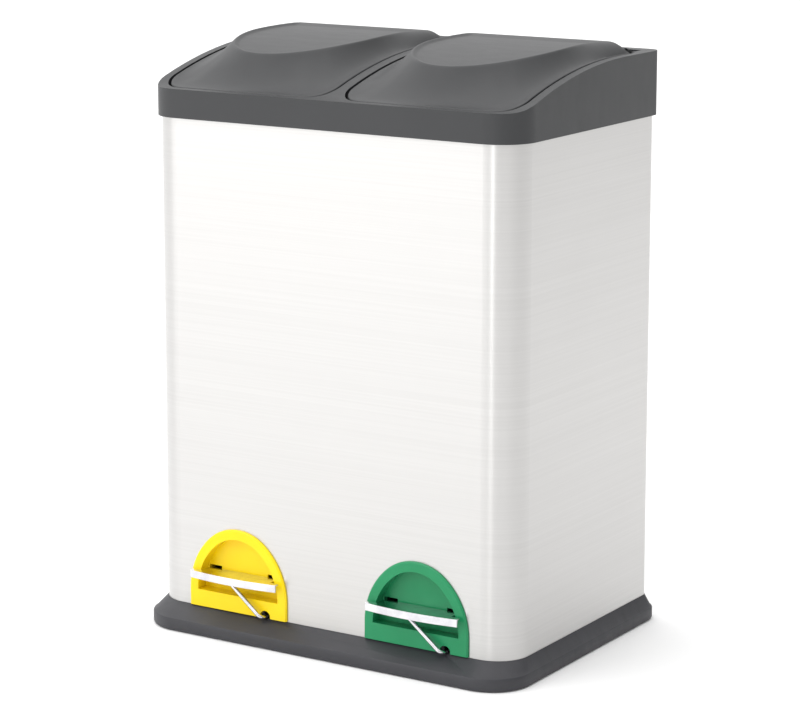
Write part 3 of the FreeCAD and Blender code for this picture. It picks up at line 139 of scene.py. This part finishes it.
greyLook = dict(dark=(0.025, 0.026, 0.028), light=(0.030, 0.031, 0.033), driftScale=9.0, grainScale=1900.0,
                grainDepth=0.00005, rubScale=34.0, rubStretch=(1, 2.5, 0.8), smooth=0.45, rough=0.49,
                specular=0.5, coat=0.0, coatRoughness=0.3)
baseLook = dict(greyLook, dark=(0.029, 0.029, 0.034), light=(0.035, 0.035, 0.041), smooth=0.44, rough=0.56)
yellowLook = dict(greyLook, dark=(0.93, 0.66, 0.001), light=(0.96, 0.72, 0.002), driftScale=20.0,
                  grainDepth=0.00002, smooth=0.30, rough=0.38, specular=0.32, coat=0.05, coatRoughness=0.15)
greenLook = dict(yellowLook, dark=(0.010, 0.225, 0.085), light=(0.014, 0.265, 0.105))
bucketLook = dict(greyLook, dark=(0.022, 0.022, 0.024), light=(0.030, 0.030, 0.033), smooth=0.45, rough=0.6)
rubberLook = dict(greyLook, dark=(0.018, 0.018, 0.018), light=(0.026, 0.026, 0.026), smooth=0.72, rough=0.86,
                  grainScale=900.0, grainDepth=0.0001)


def brushedSteel(name, look):
    # Brushed sheet: fine level scratches at two scales, with faint cloudy handling marks.
    material, tree, shader = freshMaterial(name)
    fine = noise(tree, stretched(tree, look["fineStretch"]), 1.0, detail=3, rough=0.7)
    broad = noise(tree, stretched(tree, look["broadStretch"]), 1.0, detail=4, rough=0.6)
    cloud = noise(tree, stretched(tree, look["cloudStretch"]), look["cloudScale"], detail=4, rough=0.55)
    tone = twoTone(tree, spread(tree, broad, 0, 1, fromLow=0.25, fromHigh=0.75), look["dark"], look["light"])
    wire(tree, tone, shader.inputs["Base Color"])
    mix = place(tree, "Math", operation="MULTIPLY_ADD")
    wire(tree, cloud, mix.inputs[0])
    mix.inputs[1].default_value = look["cloudShare"]
    wire(tree, fine, mix.inputs[2])
    polish = spread(tree, mix.outputs[0], look["smooth"], look["rough"], fromLow=0.5, fromHigh=1.1)
    wire(tree, polish, shader.inputs["Roughness"])
    bumped(tree, shader, fine, look["scratchDepth"])
    shader.inputs["Metallic"].default_value = 1.0
    shader.inputs["Anisotropic"].default_value = look["anisotropy"]
    shader.inputs["Anisotropic Rotation"].default_value = look["quarterTurn"]
    tangent = place(tree, "Tangent", direction_type="RADIAL", axis="Z")
    wire(tree, tangent.outputs[0], shader.inputs["Tangent"])
    return material


steelLook = dict(dark=(0.57, 0.562, 0.552), light=(0.61, 0.602, 0.592), smooth=0.32, rough=0.38,
                 fineStretch=(6, 6, 2600), broadStretch=(2.2, 2.2, 620), cloudStretch=(1, 1, 0.55),
                 cloudScale=7.0, cloudShare=0.6, scratchDepth=0.0000015, anisotropy=0.7, quarterTurn=0.25)


def brightMetal(name, look):
    # Plated or polished metal with a fine drawn texture and dull spots.
    material, tree, shader = freshMaterial(name)
    plain = stretched(tree)
    spots = noise(tree, plain, look["spotScale"], detail=4, rough=0.6)
    tone = twoTone(tree, spread(tree, spots, 0, 1), look["dark"], look["light"])
    wire(tree, tone, shader.inputs["Base Color"])
    sheen = noise(tree, plain, look["spotScale"] * look["sheenRatio"], detail=5, rough=0.7)
    wire(tree, spread(tree, sheen, look["smooth"], look["rough"]), shader.inputs["Roughness"])
    bumped(tree, shader, noise(tree, plain, look["drawnScale"], detail=2), look["depth"])
    shader.inputs["Metallic"].default_value = 1.0
    return material


polishLook = dict(dark=(0.60, 0.59, 0.63), light=(0.84, 0.84, 0.86), smooth=0.10, rough=0.24, spotScale=60.0,
                  sheenRatio=3, drawnScale=1500.0, depth=0.000004)
zincLook = dict(polishLook, dark=(0.50, 0.52, 0.55), light=(0.66, 0.68, 0.70), smooth=0.28, rough=0.45,
                spotScale=160.0, depth=0.00001)

finishes = {
    "grey_plastic": mouldedPlastic("greyMoulding", greyLook),
    "base_plastic": mouldedPlastic("baseMoulding", baseLook),
    "yellow_plastic": mouldedPlastic("yellowMoulding", yellowLook),
    "green_plastic": mouldedPlastic("greenMoulding", greenLook),
    "bucket_plastic": mouldedPlastic("bucketMoulding", bucketLook),
    "rubber": mouldedPlastic("softRubber", rubberLook),
    "brushed_steel": brushedSteel("brushedSheet", steelLook),
    "polished_steel": brightMetal("polishedWire", polishLook),
    "zinc": brightMetal("zincPlate", zincLook),
}

for node, slot in slotOf.items():
    mesh = bpy.data.objects[node].data
    mesh.materials.clear()
    mesh.materials.append(finishes[slot])
print("finishes:", len(finishes))


def enter(name, mesh, node):
    # Puts a finished mesh in the scene in place of a CAD node.
    piece = bpy.data.objects.new(name, mesh)
    bpy.context.collection.objects.link(piece)
    mesh.materials.clear()
    mesh.materials.append(finishes[slotOf[node]])
    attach(piece, bodyOf[node])
    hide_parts(node)
    return piece


edgeWidths = dict(collar=0.0012, base=0.0008, bezel_yellow=0.0009, bezel_green=0.0009,
                  pedal_left=0.0005, pedal_right=0.0005)
edgeRounding = dict(sharpFrom=math.radians(40), segments=3, mergeWithin=1e-6, flatWithin=math.radians(0.6))


def softened(node, width):
    # A copy of a moulding with its loose triangles merged, its flat areas joined and its
    # sharp edges rounded over.
    s = edgeRounding
    merged = bmesh.new()
    merged.from_mesh(bpy.data.objects[node].data)
    bmesh.ops.remove_doubles(merged, verts=merged.verts, dist=s["mergeWithin"])
    bmesh.ops.dissolve_limit(merged, angle_limit=s["flatWithin"], verts=merged.verts, edges=merged.edges)
    mesh = bpy.data.meshes.new(node + "_soft")
    merged.to_mesh(mesh)
    merged.free()
    if "custom_normal" in mesh.attributes:
        mesh.attributes.remove(mesh.attributes["custom_normal"])
    mesh.polygons.foreach_set("use_smooth", np.ones(len(mesh.polygons), bool))
    piece = enter(node + "_soft", mesh, node)
    bevel = piece.modifiers.new("edges", "BEVEL")
    bevel.width = width
    bevel.segments = s["segments"]
    bevel.limit_method = "ANGLE"
    bevel.angle_limit = s["sharpFrom"]
    bevel.harden_normals = True


for node, width in edgeWidths.items():
    softened(node, width)
print("mouldings softened")

# The collar's side line. Bend and crest are the radii of its two arcs, start and crestStart the
# y of their lowest and highest points, and bendEnd the y where the one passes into the other.
rising = dict(level=0.5083, bend=0.055, start=-0.124, bendEnd=-0.106094, crest=0.54521, crestStart=0.07141,
              deck=0.541)
# One lid about its bay's middle: the outline and its narrower wings beside the hinge, the
# plateau's rim, its middle line from nose to hinge, the flank, the dish, the wall and the roll,
# then how many rows and columns, and how they crowd towards the rim.
lidShape = dict(halfWidth=0.08945, front=-0.1174, corner=0.027,
                rollHalfWidth=0.08595, narrowFrom=0.0955, narrowTo=0.0995,
                reach=0.070, noseCentre=0.0126, nose=0.0972,
                roof=0.552, slope=0.0502, sag=0.7, back=0.0846, crest=0.0895, crestSlope=math.radians(30.6),
                foot=0.1015, backSlope=math.radians(23), backSoftness=0.003,
                power=1.7, round=2.4, fullFrom=0.0, crease=0.0016, creaseHeight=0.008, leastCrease=0.03,
                leastClimb=0.05, leastSteep=0.001,
                dishDepth=0.0022, lip=0.0004, dishBlend=0.0055, dishEnd=0.02,
                wall=0.0026, skirt=0.006, skirtEnd=0.0855, skirtBlend=0.008, rimWall=0.002, edgeRadius=0.0013,
                footRadius=0.0006, footStep=0.0003, roll=0.012, rollEnd=math.radians(-15),
                noseRows=96, sideRows=76, rollRows=14, roofColumns=28, flankColumns=26, edgeColumns=5,
                roofCrowding=1.8, flankCrowding=1.5, sharpFrom=math.radians(38))
rollStart = math.pi / 2 - lidShape["backSlope"]  # where the slope touches the hinge roll
hair = 1e-9  # stands in for a length of nothing where something is divided by it


def riseAt(y):
    # The collar's side line: level, then a hollow arc, then a long crown arc, then level.
    # Hollow = level + radius - root(radius ^ 2 - (y - start) ^ 2), and the crown is its opposite.
    hollow = rising["level"] + rising["bend"] - np.sqrt(
        np.maximum(rising["bend"] ** 2 - (y - rising["start"]) ** 2, 0))
    crown = rising["deck"] - rising["crest"] + np.sqrt(
        np.maximum(rising["crest"] ** 2 - (y - rising["crestStart"]) ** 2, 0))
    return np.select([y <= rising["start"], y < rising["bendEnd"], y < rising["crestStart"]],
                     [rising["level"], hollow, crown], rising["deck"])


def smoothStep(t):
    # Eases from 0 to 1: 3 t ^ 2 - 2 t ^ 3, and flat outside.
    t = np.clip(t, 0, 1)
    return t * t * (3 - 2 * t)


def roofAt(y):
    # The plateau's middle line: a slight fall and sag to the front, a level stretch, then the
    # slope down to the hinge, steeper from the crest to its foot, with both bends rounded.
    s = lidShape

    def past(start):
        # Distance past a line, eased where it begins: (d + root(d ^ 2 + softness ^ 2)) / 2.
        return (y - start + np.hypot(y - start, s["backSoftness"])) / 2

    ahead = np.minimum(y - s["back"], 0)
    fall = math.tan(s["crestSlope"]) * past(s["crest"])
    easing = (math.tan(s["crestSlope"]) - math.tan(s["backSlope"])) * past(s["foot"])
    return s["roof"] - s["slope"] * ahead - s["sag"] * ahead ** 2 - (fall - easing)


def edgeLevel(y):
    # The lid's edge: the collar's side line, or the roof where that is lower.
    return np.minimum(riseAt(y), roofAt(y))


def softLower(first, second, softness):
    # The lower of two heights, less (softness - gap) ^ 2 / (4 softness) where the gap is small,
    # which rounds the corner over where they cross.
    return np.minimum(first, second) - np.maximum(softness - np.abs(first - second), 0) ** 2 / (4 * softness)


def lidOutline(rimX, rimY, inset):
    # Where each row meets the lid's outline. Rows ahead of the nose's centre run along rays
    # from it to the front line, the side line or the corner's circle. Others run square across.
    s = lidShape
    narrow = (s["halfWidth"] - s["rollHalfWidth"]) * smoothStep(
        (rimY - s["narrowFrom"]) / (s["narrowTo"] - s["narrowFrom"]))
    half = s["halfWidth"] - inset - narrow
    reach = s["noseCentre"] - s["front"] - inset
    corner = s["corner"] - inset
    ahead = np.maximum(s["noseCentre"] - rimY, hair)
    across = np.maximum(rimX, hair)
    stretch = np.minimum(half / across, reach / ahead)
    inCorner = (across * stretch > half - corner) & (ahead * stretch > reach - corner)
    # On the circle: stretch ^ 2 * length - 2 * stretch * along + middle = 0, its farther answer.
    along = across * (half - corner) + ahead * (reach - corner)
    length = across ** 2 + ahead ** 2
    middle = (half - corner) ** 2 + (reach - corner) ** 2 - corner ** 2
    onCircle = (along + np.sqrt(np.maximum(along ** 2 - length * middle, 0))) / length
    stretch = np.where(inCorner, onCircle, stretch)
    fan = rimY < s["noseCentre"] - hair
    return np.where(fan, across * stretch, half), np.where(fan, s["noseCentre"] - ahead * stretch, rimY)


def lidRim():
    # The plateau's rim, one point a row: a quarter of an ellipse round the nose, then straight
    # back to where the slope touches the hinge roll.
    s = lidShape
    turn = np.linspace(0, math.pi / 2, s["noseRows"])
    side = np.linspace(s["noseCentre"], hinge[0] + s["roll"] * math.cos(rollStart), s["sideRows"] + 1)[1:]
    rimX = np.concatenate([s["reach"] * np.sin(turn), np.full(side.shape, s["reach"])])
    rimY = np.concatenate([s["noseCentre"] - s["nose"] * np.cos(turn), side])
    return rimX[:, None], rimY[:, None]


def lidSkin(rimX, rimY, inset, drop):
    # One face of the lid's wall, from the middle out to the inset outline and lowered by drop.
    # Plateau = the middle line, less a dish that eases in behind a narrow lip. Flank = edge +
    # (rim - edge) * hollow, where hollow = way ^ power in front and turns to
    # 1 - (1 - way) ^ round towards the back. The lower of the two, softly, is the skin.
    s = lidShape
    across = 1 - np.linspace(1, 0, s["roofColumns"])[None, :] ** s["roofCrowding"]
    way = (1 - np.linspace(0, 1, s["flankColumns"]) ** s["flankCrowding"])[None, 1:]
    edgeX, edgeY = lidOutline(rimX, rimY, inset)
    edgeZ = edgeLevel(edgeY)
    rimZ = roofAt(rimY)
    height = rimZ - edgeZ
    full = smoothStep((rimY - s["fullFrom"]) / (s["back"] - s["fullFrom"]))
    softness = s["crease"] * np.clip(height / s["creaseHeight"] * (1 - full), s["leastCrease"], 1)
    # Within = distance inside the rim's ellipse: one less the ring's share, over its steepness.
    x = rimX * across
    lead = np.maximum(s["noseCentre"] - rimY, 0)
    ring = np.hypot(x / s["reach"], lead / s["nose"])
    steep = np.hypot(x / s["reach"] ** 2, lead / s["nose"] ** 2)
    within = np.maximum((1 - ring) / np.maximum(steep, s["leastSteep"] / s["reach"]), 0)
    run = np.hypot(edgeX - rimX, edgeY - rimY)
    climb = rimZ + ((1 - full) * s["power"] * height / run + s["leastClimb"]) * within
    dish = s["dishDepth"] * smoothStep((within - s["lip"]) / s["dishBlend"]) \
        * smoothStep((s["back"] - rimY) / s["dishEnd"])
    roof = softLower(np.broadcast_to(rimZ, climb.shape), climb, softness) - dish
    inner = np.stack([x, np.broadcast_to(rimY, x.shape), roof - drop], 2)
    flankX = edgeX + (rimX - edgeX) * way
    flankY = edgeY + (rimY - edgeY) * way
    hollow = (1 - full) * way ** s["power"] + full * (1 - (1 - way) ** s["round"])
    flank = softLower(roofAt(flankY), edgeZ + height * hollow, softness)
    outer = np.stack([flankX, flankY, flank - drop], 2)
    return np.concatenate([inner, outer], 1)


def edgeColumn(rimX, rimY, inset, drop):
    # One column of points along the lid's outline, inset from it and below its edge.
    edgeX, edgeY = lidOutline(rimX, rimY, inset)
    return np.stack([edgeX, edgeY, edgeLevel(edgeY) - drop], 2)


def lidHalf():
    # The lid's right half as a grid: each row runs from the middle of the top out over the
    # rounded edge and the skirt, and back along the underside. The last row is then turned
    # about the hinge line, each point at the roll's radius less its depth in the wall.
    s = lidShape
    rimX, rimY = lidRim()
    radius = s["edgeRadius"]
    skirt = s["wall"] + (s["skirt"] - s["wall"]) * smoothStep(
        (s["skirtEnd"] + s["skirtBlend"] / 2 - rimY) / s["skirtBlend"])
    upper = lidSkin(rimX, rimY, radius, 0)
    rounding = [edgeColumn(rimX, rimY, radius * (1 - math.sin(a)), radius * (1 - math.cos(a)))
                for a in np.radians(np.linspace(0, 90, s["edgeColumns"] + 1)[1:])]
    foot = [edgeColumn(rimX, rimY, 0, skirt - s["footRadius"]), edgeColumn(rimX, rimY, s["footRadius"], skirt),
            edgeColumn(rimX, rimY, s["rimWall"] - s["footStep"], skirt)]
    lower = lidSkin(rimX, rimY, s["rimWall"], s["wall"])[:, ::-1]
    half = np.concatenate([upper] + rounding + foot + [lower], 1)
    last = half[-1]
    depth = np.clip(edgeLevel(last[:, 1]) - last[:, 2], 0, s["wall"])
    angle = np.linspace(rollStart, s["rollEnd"], s["rollRows"] + 1)[1:, None]
    radii = s["roll"] - depth[None, :]
    rolled = np.stack([np.broadcast_to(last[:, 0], (len(angle), len(last))),
                       hinge[0] + radii * np.cos(angle), hinge[1] + radii * np.sin(angle)], 2)
    return np.concatenate([half, rolled], 0)


def gridFaces(rows, columns):
    # Four-sided faces of a grid whose columns close on themselves: each joins a point, the
    # next in its row and the two below them.
    row, column = np.meshgrid(np.arange(rows - 1), np.arange(columns), indexing="ij")
    after = (column + 1) % columns
    faces = np.stack([row * columns + column, row * columns + after, (row + 1) * columns + after,
                      (row + 1) * columns + column], 2)
    return faces.reshape(-1, 4)


def turnOutward(mesh):
    # Merges doubles and makes every face point outwards.
    work = bmesh.new()
    work.from_mesh(mesh)
    bmesh.ops.remove_doubles(work, verts=work.verts, dist=2e-6)
    bmesh.ops.recalc_face_normals(work, faces=work.faces)
    work.to_mesh(mesh)
    work.free()


def lidShell():
    # The whole lid: the half and its mirror image as one closed ring of columns, with the
    # roll's open end closed by faces between the two halves.
    half = lidHalf()
    mirrored = (half * (-1, 1, 1))[:, -2:0:-1]
    grid = np.concatenate([half, mirrored], 1)
    rows, columns = grid.shape[:2]
    column = np.arange(half.shape[1] - 1)
    other = (columns - column) % columns
    after = (columns - column - 1) % columns
    cap = (rows - 1) * columns + np.stack([column, column + 1, after, other], 1)
    mesh = bpy.data.meshes.new("lidShell")
    mesh.from_pydata(grid.reshape(-1, 3), [], np.concatenate([gridFaces(rows, columns), cap]).tolist())
    turnOutward(mesh)
    return mesh


# The cheeks at the roll's ends, the two lugs that hold the pull rod's pin and the rod's window
# through the roll. Turns are in degrees about the hinge line or the pin.
fittingShape = dict(cheekWidth=0.004, cheekGap=0.0005, cheekTurns=(-15, 67), cheekTip=(-0.014, 0.017),
                    hub=0.0055, hubTurns=(65, -15), shoulder=0.0094, shoulderTurns=(5, 55),
                    pinTurn=25, pinReach=0.014, eye=0.003, eyeTurns=(-65, 115), rodX=-0.03918, lugInner=0.0023,
                    lugOuter=0.0053, windowFront=0.115, windowBack=0.124, windowBottom=0.515, windowTop=0.5402)


def prism(name, points, low, high):
    # A solid of an outline in y and z between two x values.
    count = len(points)
    verts = [(x, y, z) for x in (low, high) for y, z in points]
    faces = [tuple(range(count)), tuple(range(2 * count - 1, count - 1, -1))]
    faces += [(k, k + count, (k + 1) % count + count, (k + 1) % count) for k in range(count)]
    mesh = bpy.data.meshes.new(name)
    mesh.from_pydata(verts, [], faces)
    turnOutward(mesh)
    return mesh


def turned(angle, radius, centre):
    # The point at an angle in degrees and a radius about a centre in y and z.
    turn = math.radians(angle)
    return centre[0] + radius * math.cos(turn), centre[1] + radius * math.sin(turn)


def lidFittings():
    # Outlines: a cheek follows the roll, its tip and the hub, and a lug goes from its shoulder
    # round the pin's eye to its other shoulder and the hub.
    s = fittingShape
    cheek = [turned(a, lidShape["roll"] - s["cheekGap"], hinge) for a in np.linspace(*s["cheekTurns"], 12)]
    cheek += [(hinge[0] + s["cheekTip"][0], hinge[1] + s["cheekTip"][1])]
    cheek += [turned(a, s["hub"], hinge) for a in np.linspace(180, 270, 8)]
    pin = turned(s["pinTurn"], s["pinReach"], hinge)
    first, second = (turned(a, s["shoulder"], hinge) for a in s["shoulderTurns"])
    eye = [turned(a, s["eye"], pin) for a in np.linspace(*s["eyeTurns"], 14)]
    lug = [first] + eye + [second] + [turned(a, s["hub"], hinge) for a in s["hubTurns"]]
    half, rodX = lidShape["rollHalfWidth"], s["rodX"]
    return [prism("cheek", cheek, -half, s["cheekWidth"] - half),
            prism("cheek", cheek, half - s["cheekWidth"], half),
            prism("lug", lug, rodX - s["lugOuter"], rodX - s["lugInner"]),
            prism("lug", lug, rodX + s["lugInner"], rodX + s["lugOuter"])]


def windowed(mesh):
    # Cuts the pull rod's window through the hinge roll.
    s = fittingShape
    corners = [(s["windowFront"], s["windowBottom"]), (s["windowBack"], s["windowBottom"]),
               (s["windowBack"], s["windowTop"]), (s["windowFront"], s["windowTop"])]
    window = prism("rodWindow", corners, s["rodX"] - s["lugInner"], s["rodX"] + s["lugInner"])
    shell, cutter = (bpy.data.objects.new(item.name, item) for item in (mesh, window))
    for item in (shell, cutter):
        bpy.context.collection.objects.link(item)
    cut = shell.modifiers.new("window", "BOOLEAN")
    cut.object = cutter
    cut.operation = "DIFFERENCE"
    cut.solver = "EXACT"
    result = bpy.data.meshes.new_from_object(shell.evaluated_get(bpy.context.evaluated_depsgraph_get()))
    for item in (shell, cutter):
        bpy.data.objects.remove(item)
    return result


def makeLid(side, middle):
    # The windowed shell and its fittings as one mesh, moved to its bay.
    joined = bmesh.new()
    for part in [windowed(lidShell())] + lidFittings():
        joined.from_mesh(part)
    bmesh.ops.translate(joined, verts=joined.verts, vec=(middle, 0, 0))
    mesh = bpy.data.meshes.new("lid_" + side + "_smooth")
    joined.to_mesh(mesh)
    joined.free()
    mesh.polygons.foreach_set("use_smooth", np.ones(len(mesh.polygons), bool))
    mesh.set_sharp_from_angle(angle=lidShape["sharpFrom"])
    enter(mesh.name, mesh, "lid_" + side)


for side, middle in bays:
    makeLid(side, middle)
print("lids made")

coverShape = dict(inner=0.0864, outer=0.0922, front=0.1015, back=0.1245, bottom=0.5385, top=0.54095)


def makeCovers():
    # Thin covers over the hinge sockets, level with the collar's deck: a box at each side of
    # each bay. Corner = low + choice * (high - low), for the eight choices of 0 or 1 in x, y, z.
    s = coverShape
    choices = np.array([(x, y, z) for x in (0, 1) for y in (0, 1) for z in (0, 1)])
    sides = np.array([(0, 1, 3, 2), (4, 6, 7, 5), (0, 4, 5, 1), (2, 3, 7, 6), (0, 2, 6, 4), (1, 5, 7, 3)])
    spans = [sorted((middle + way * s["inner"], middle + way * s["outer"]))
             for _, middle in bays for way in (-1, 1)]
    lows = np.array([(low, s["front"], s["bottom"]) for low, _ in spans])
    highs = np.array([(high, s["back"], s["top"]) for _, high in spans])
    verts = lows[:, None] + choices * (highs - lows)[:, None]
    faces = sides + len(choices) * np.arange(len(spans))[:, None, None]
    mesh = bpy.data.meshes.new("hinge_covers")
    mesh.from_pydata(verts.reshape(-1, 3), [], faces.reshape(-1, 4).tolist())
    turnOutward(mesh)
    covers = bpy.data.objects.new(mesh.name, mesh)
    bpy.context.collection.objects.link(covers)
    mesh.materials.append(finishes["grey_plastic"])
    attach(covers, "root")


makeCovers()
print("hinge covers made")

floorLook = dict(halfSize=20.0, tone=(0.93, 0.93, 0.93), rough=0.9, specular=0.1)


def makeFloor():
    # A wide plain square under the bin.
    half = floorLook["halfSize"]
    corners = [(-half, -half, 0), (half, -half, 0), (half, half, 0), (-half, half, 0)]
    mesh = bpy.data.meshes.new("floor")
    mesh.from_pydata(corners, [], [(0, 1, 2, 3)])
    floor = bpy.data.objects.new("floor", mesh)
    bpy.context.collection.objects.link(floor)
    material, _, shader = freshMaterial("paleFloor")
    shader.inputs["Base Color"].default_value = (*floorLook["tone"], 1)
    shader.inputs["Roughness"].default_value = floorLook["rough"]
    shader.inputs["Specular IOR Level"].default_value = floorLook["specular"]
    mesh.materials.append(material)


# Brighter and dimmer quarters of the studio: each goes from low to high as a direction's share
# of its aim goes from start to end.
skyQuarters = dict(
    overhead=dict(aim=(0.0, 0.0, 1.0), start=0.0, end=0.9, low=0.52, high=1.36),
    frontLeft=dict(aim=(-0.85, -0.5, 0.1), start=0.2, end=1.0, low=0.0, high=0.45),
    backLeft=dict(aim=(-0.5, 0.85, 0.15), start=0.3, end=1.0, low=0.0, high=0.4),
    backRight=dict(aim=(0.75, 0.65, 0.0), start=0.1, end=0.9, low=0.0, high=-0.38))


def makeWorld():
    # A studio that is bright overhead and in front on the left, and dim behind on the right.
    # Strength = the sum of the quarters, each eased by a smooth step.
    world = bpy.data.worlds.new("studio")
    bpy.context.scene.world = world
    world.use_nodes = True
    tree = world.node_tree
    background = next(node for node in tree.nodes if node.type == "BACKGROUND")
    coordinate = place(tree, "TexCoord")
    shares = []
    for quarter in skyQuarters.values():
        aim = place(tree, "VectorMath", operation="DOT_PRODUCT")
        aim.inputs[1].default_value = quarter["aim"]
        wire(tree, coordinate.outputs["Generated"], aim.inputs[0])
        shares.append(spread(tree, aim.outputs["Value"], quarter["low"], quarter["high"], quarter["start"],
                             quarter["end"], curve="SMOOTHSTEP"))
    total = shares[0]
    for share in shares[1:]:
        adder = place(tree, "Math", operation="ADD")
        wire(tree, total, adder.inputs[0])
        wire(tree, share, adder.inputs[1])
        total = adder.outputs[0]
    wire(tree, total, background.inputs["Strength"])
    background.inputs["Color"].default_value = (1, 1, 1, 1)


# A broad key from the front left, a narrow strip for the sleeve's corner, and a soft top light.
panelLights = dict(key=dict(spot=(-1.9, -2.6, 1.6), energy=24, width=2.2, height=2.6),
                   strip=dict(spot=(0.35, -2.5, 0.5), energy=4, width=0.22, height=1.5))
panelAim = (0, 0, 0.3)
topLight = dict(spot=(-0.6, -0.4, 3.0), energy=0.7, spread=math.radians(60))


def hang(light, spot, aim):
    # Hangs a light at a spot and points it at its aim.
    lamp = bpy.data.objects.new(light.name, light)
    lamp.location = spot
    lamp.rotation_euler = (Vector(aim) - Vector(spot)).to_track_quat("-Z", "Y").to_euler()
    bpy.context.collection.objects.link(lamp)


def makeLights():
    # The panels, aimed at the middle of the bin, and then the top light.
    for name, look in panelLights.items():
        panel = bpy.data.lights.new(name, "AREA")
        panel.energy = look["energy"]
        panel.shape = "RECTANGLE"
        panel.size = look["width"]
        panel.size_y = look["height"]
        hang(panel, look["spot"], panelAim)
    top = bpy.data.lights.new("top", "SUN")
    top.energy = topLight["energy"]
    top.angle = topLight["spread"]
    hang(top, topLight["spot"], (0, 0, 0))


# Solved from the photograph's straight edges. Focal length and centre row are in its pixels.
view = dict(yaw=math.radians(32.2691), pitch=math.radians(10.5744), roll=math.radians(0.0548),
            distance=2.64208, target=(-0.0031884, 0.0055, 0.3257050), focal=2841.55, centreRow=281.0,
            width=800, height=710, sensor=36.0, farEnd=100)


def makeCamera():
    # Turned about Z by yaw and tilted by pitch, then rolled, at its distance from the target.
    yaw, pitch, roll = view["yaw"], view["pitch"], view["roll"]
    back = Vector((math.sin(yaw) * math.cos(pitch), -math.cos(yaw) * math.cos(pitch), math.sin(pitch)))
    right = Vector((0, 0, 1)).cross(back).normalized()
    up = back.cross(right)
    turnedRight = right * math.cos(roll) + up * math.sin(roll)
    turnedUp = up * math.cos(roll) - right * math.sin(roll)
    camera = bpy.data.cameras.new("camera")
    camera.sensor_width = view["sensor"]
    camera.lens = view["focal"] * view["sensor"] / view["width"]
    camera.shift_y = (view["centreRow"] - view["height"] / 2) / view["width"]
    camera.clip_end = view["farEnd"]
    holder = bpy.data.objects.new("camera", camera)
    axes = Matrix((turnedRight, turnedUp, back)).transposed().to_4x4()
    holder.matrix_world = Matrix.Translation(Vector(view["target"]) + back * view["distance"]) @ axes
    bpy.context.collection.objects.link(holder)
    bpy.context.scene.camera = holder


makeFloor()
makeWorld()
makeLights()
makeCamera()
bpy.context.scene.view_settings.view_transform = "Standard"
print("studio set")
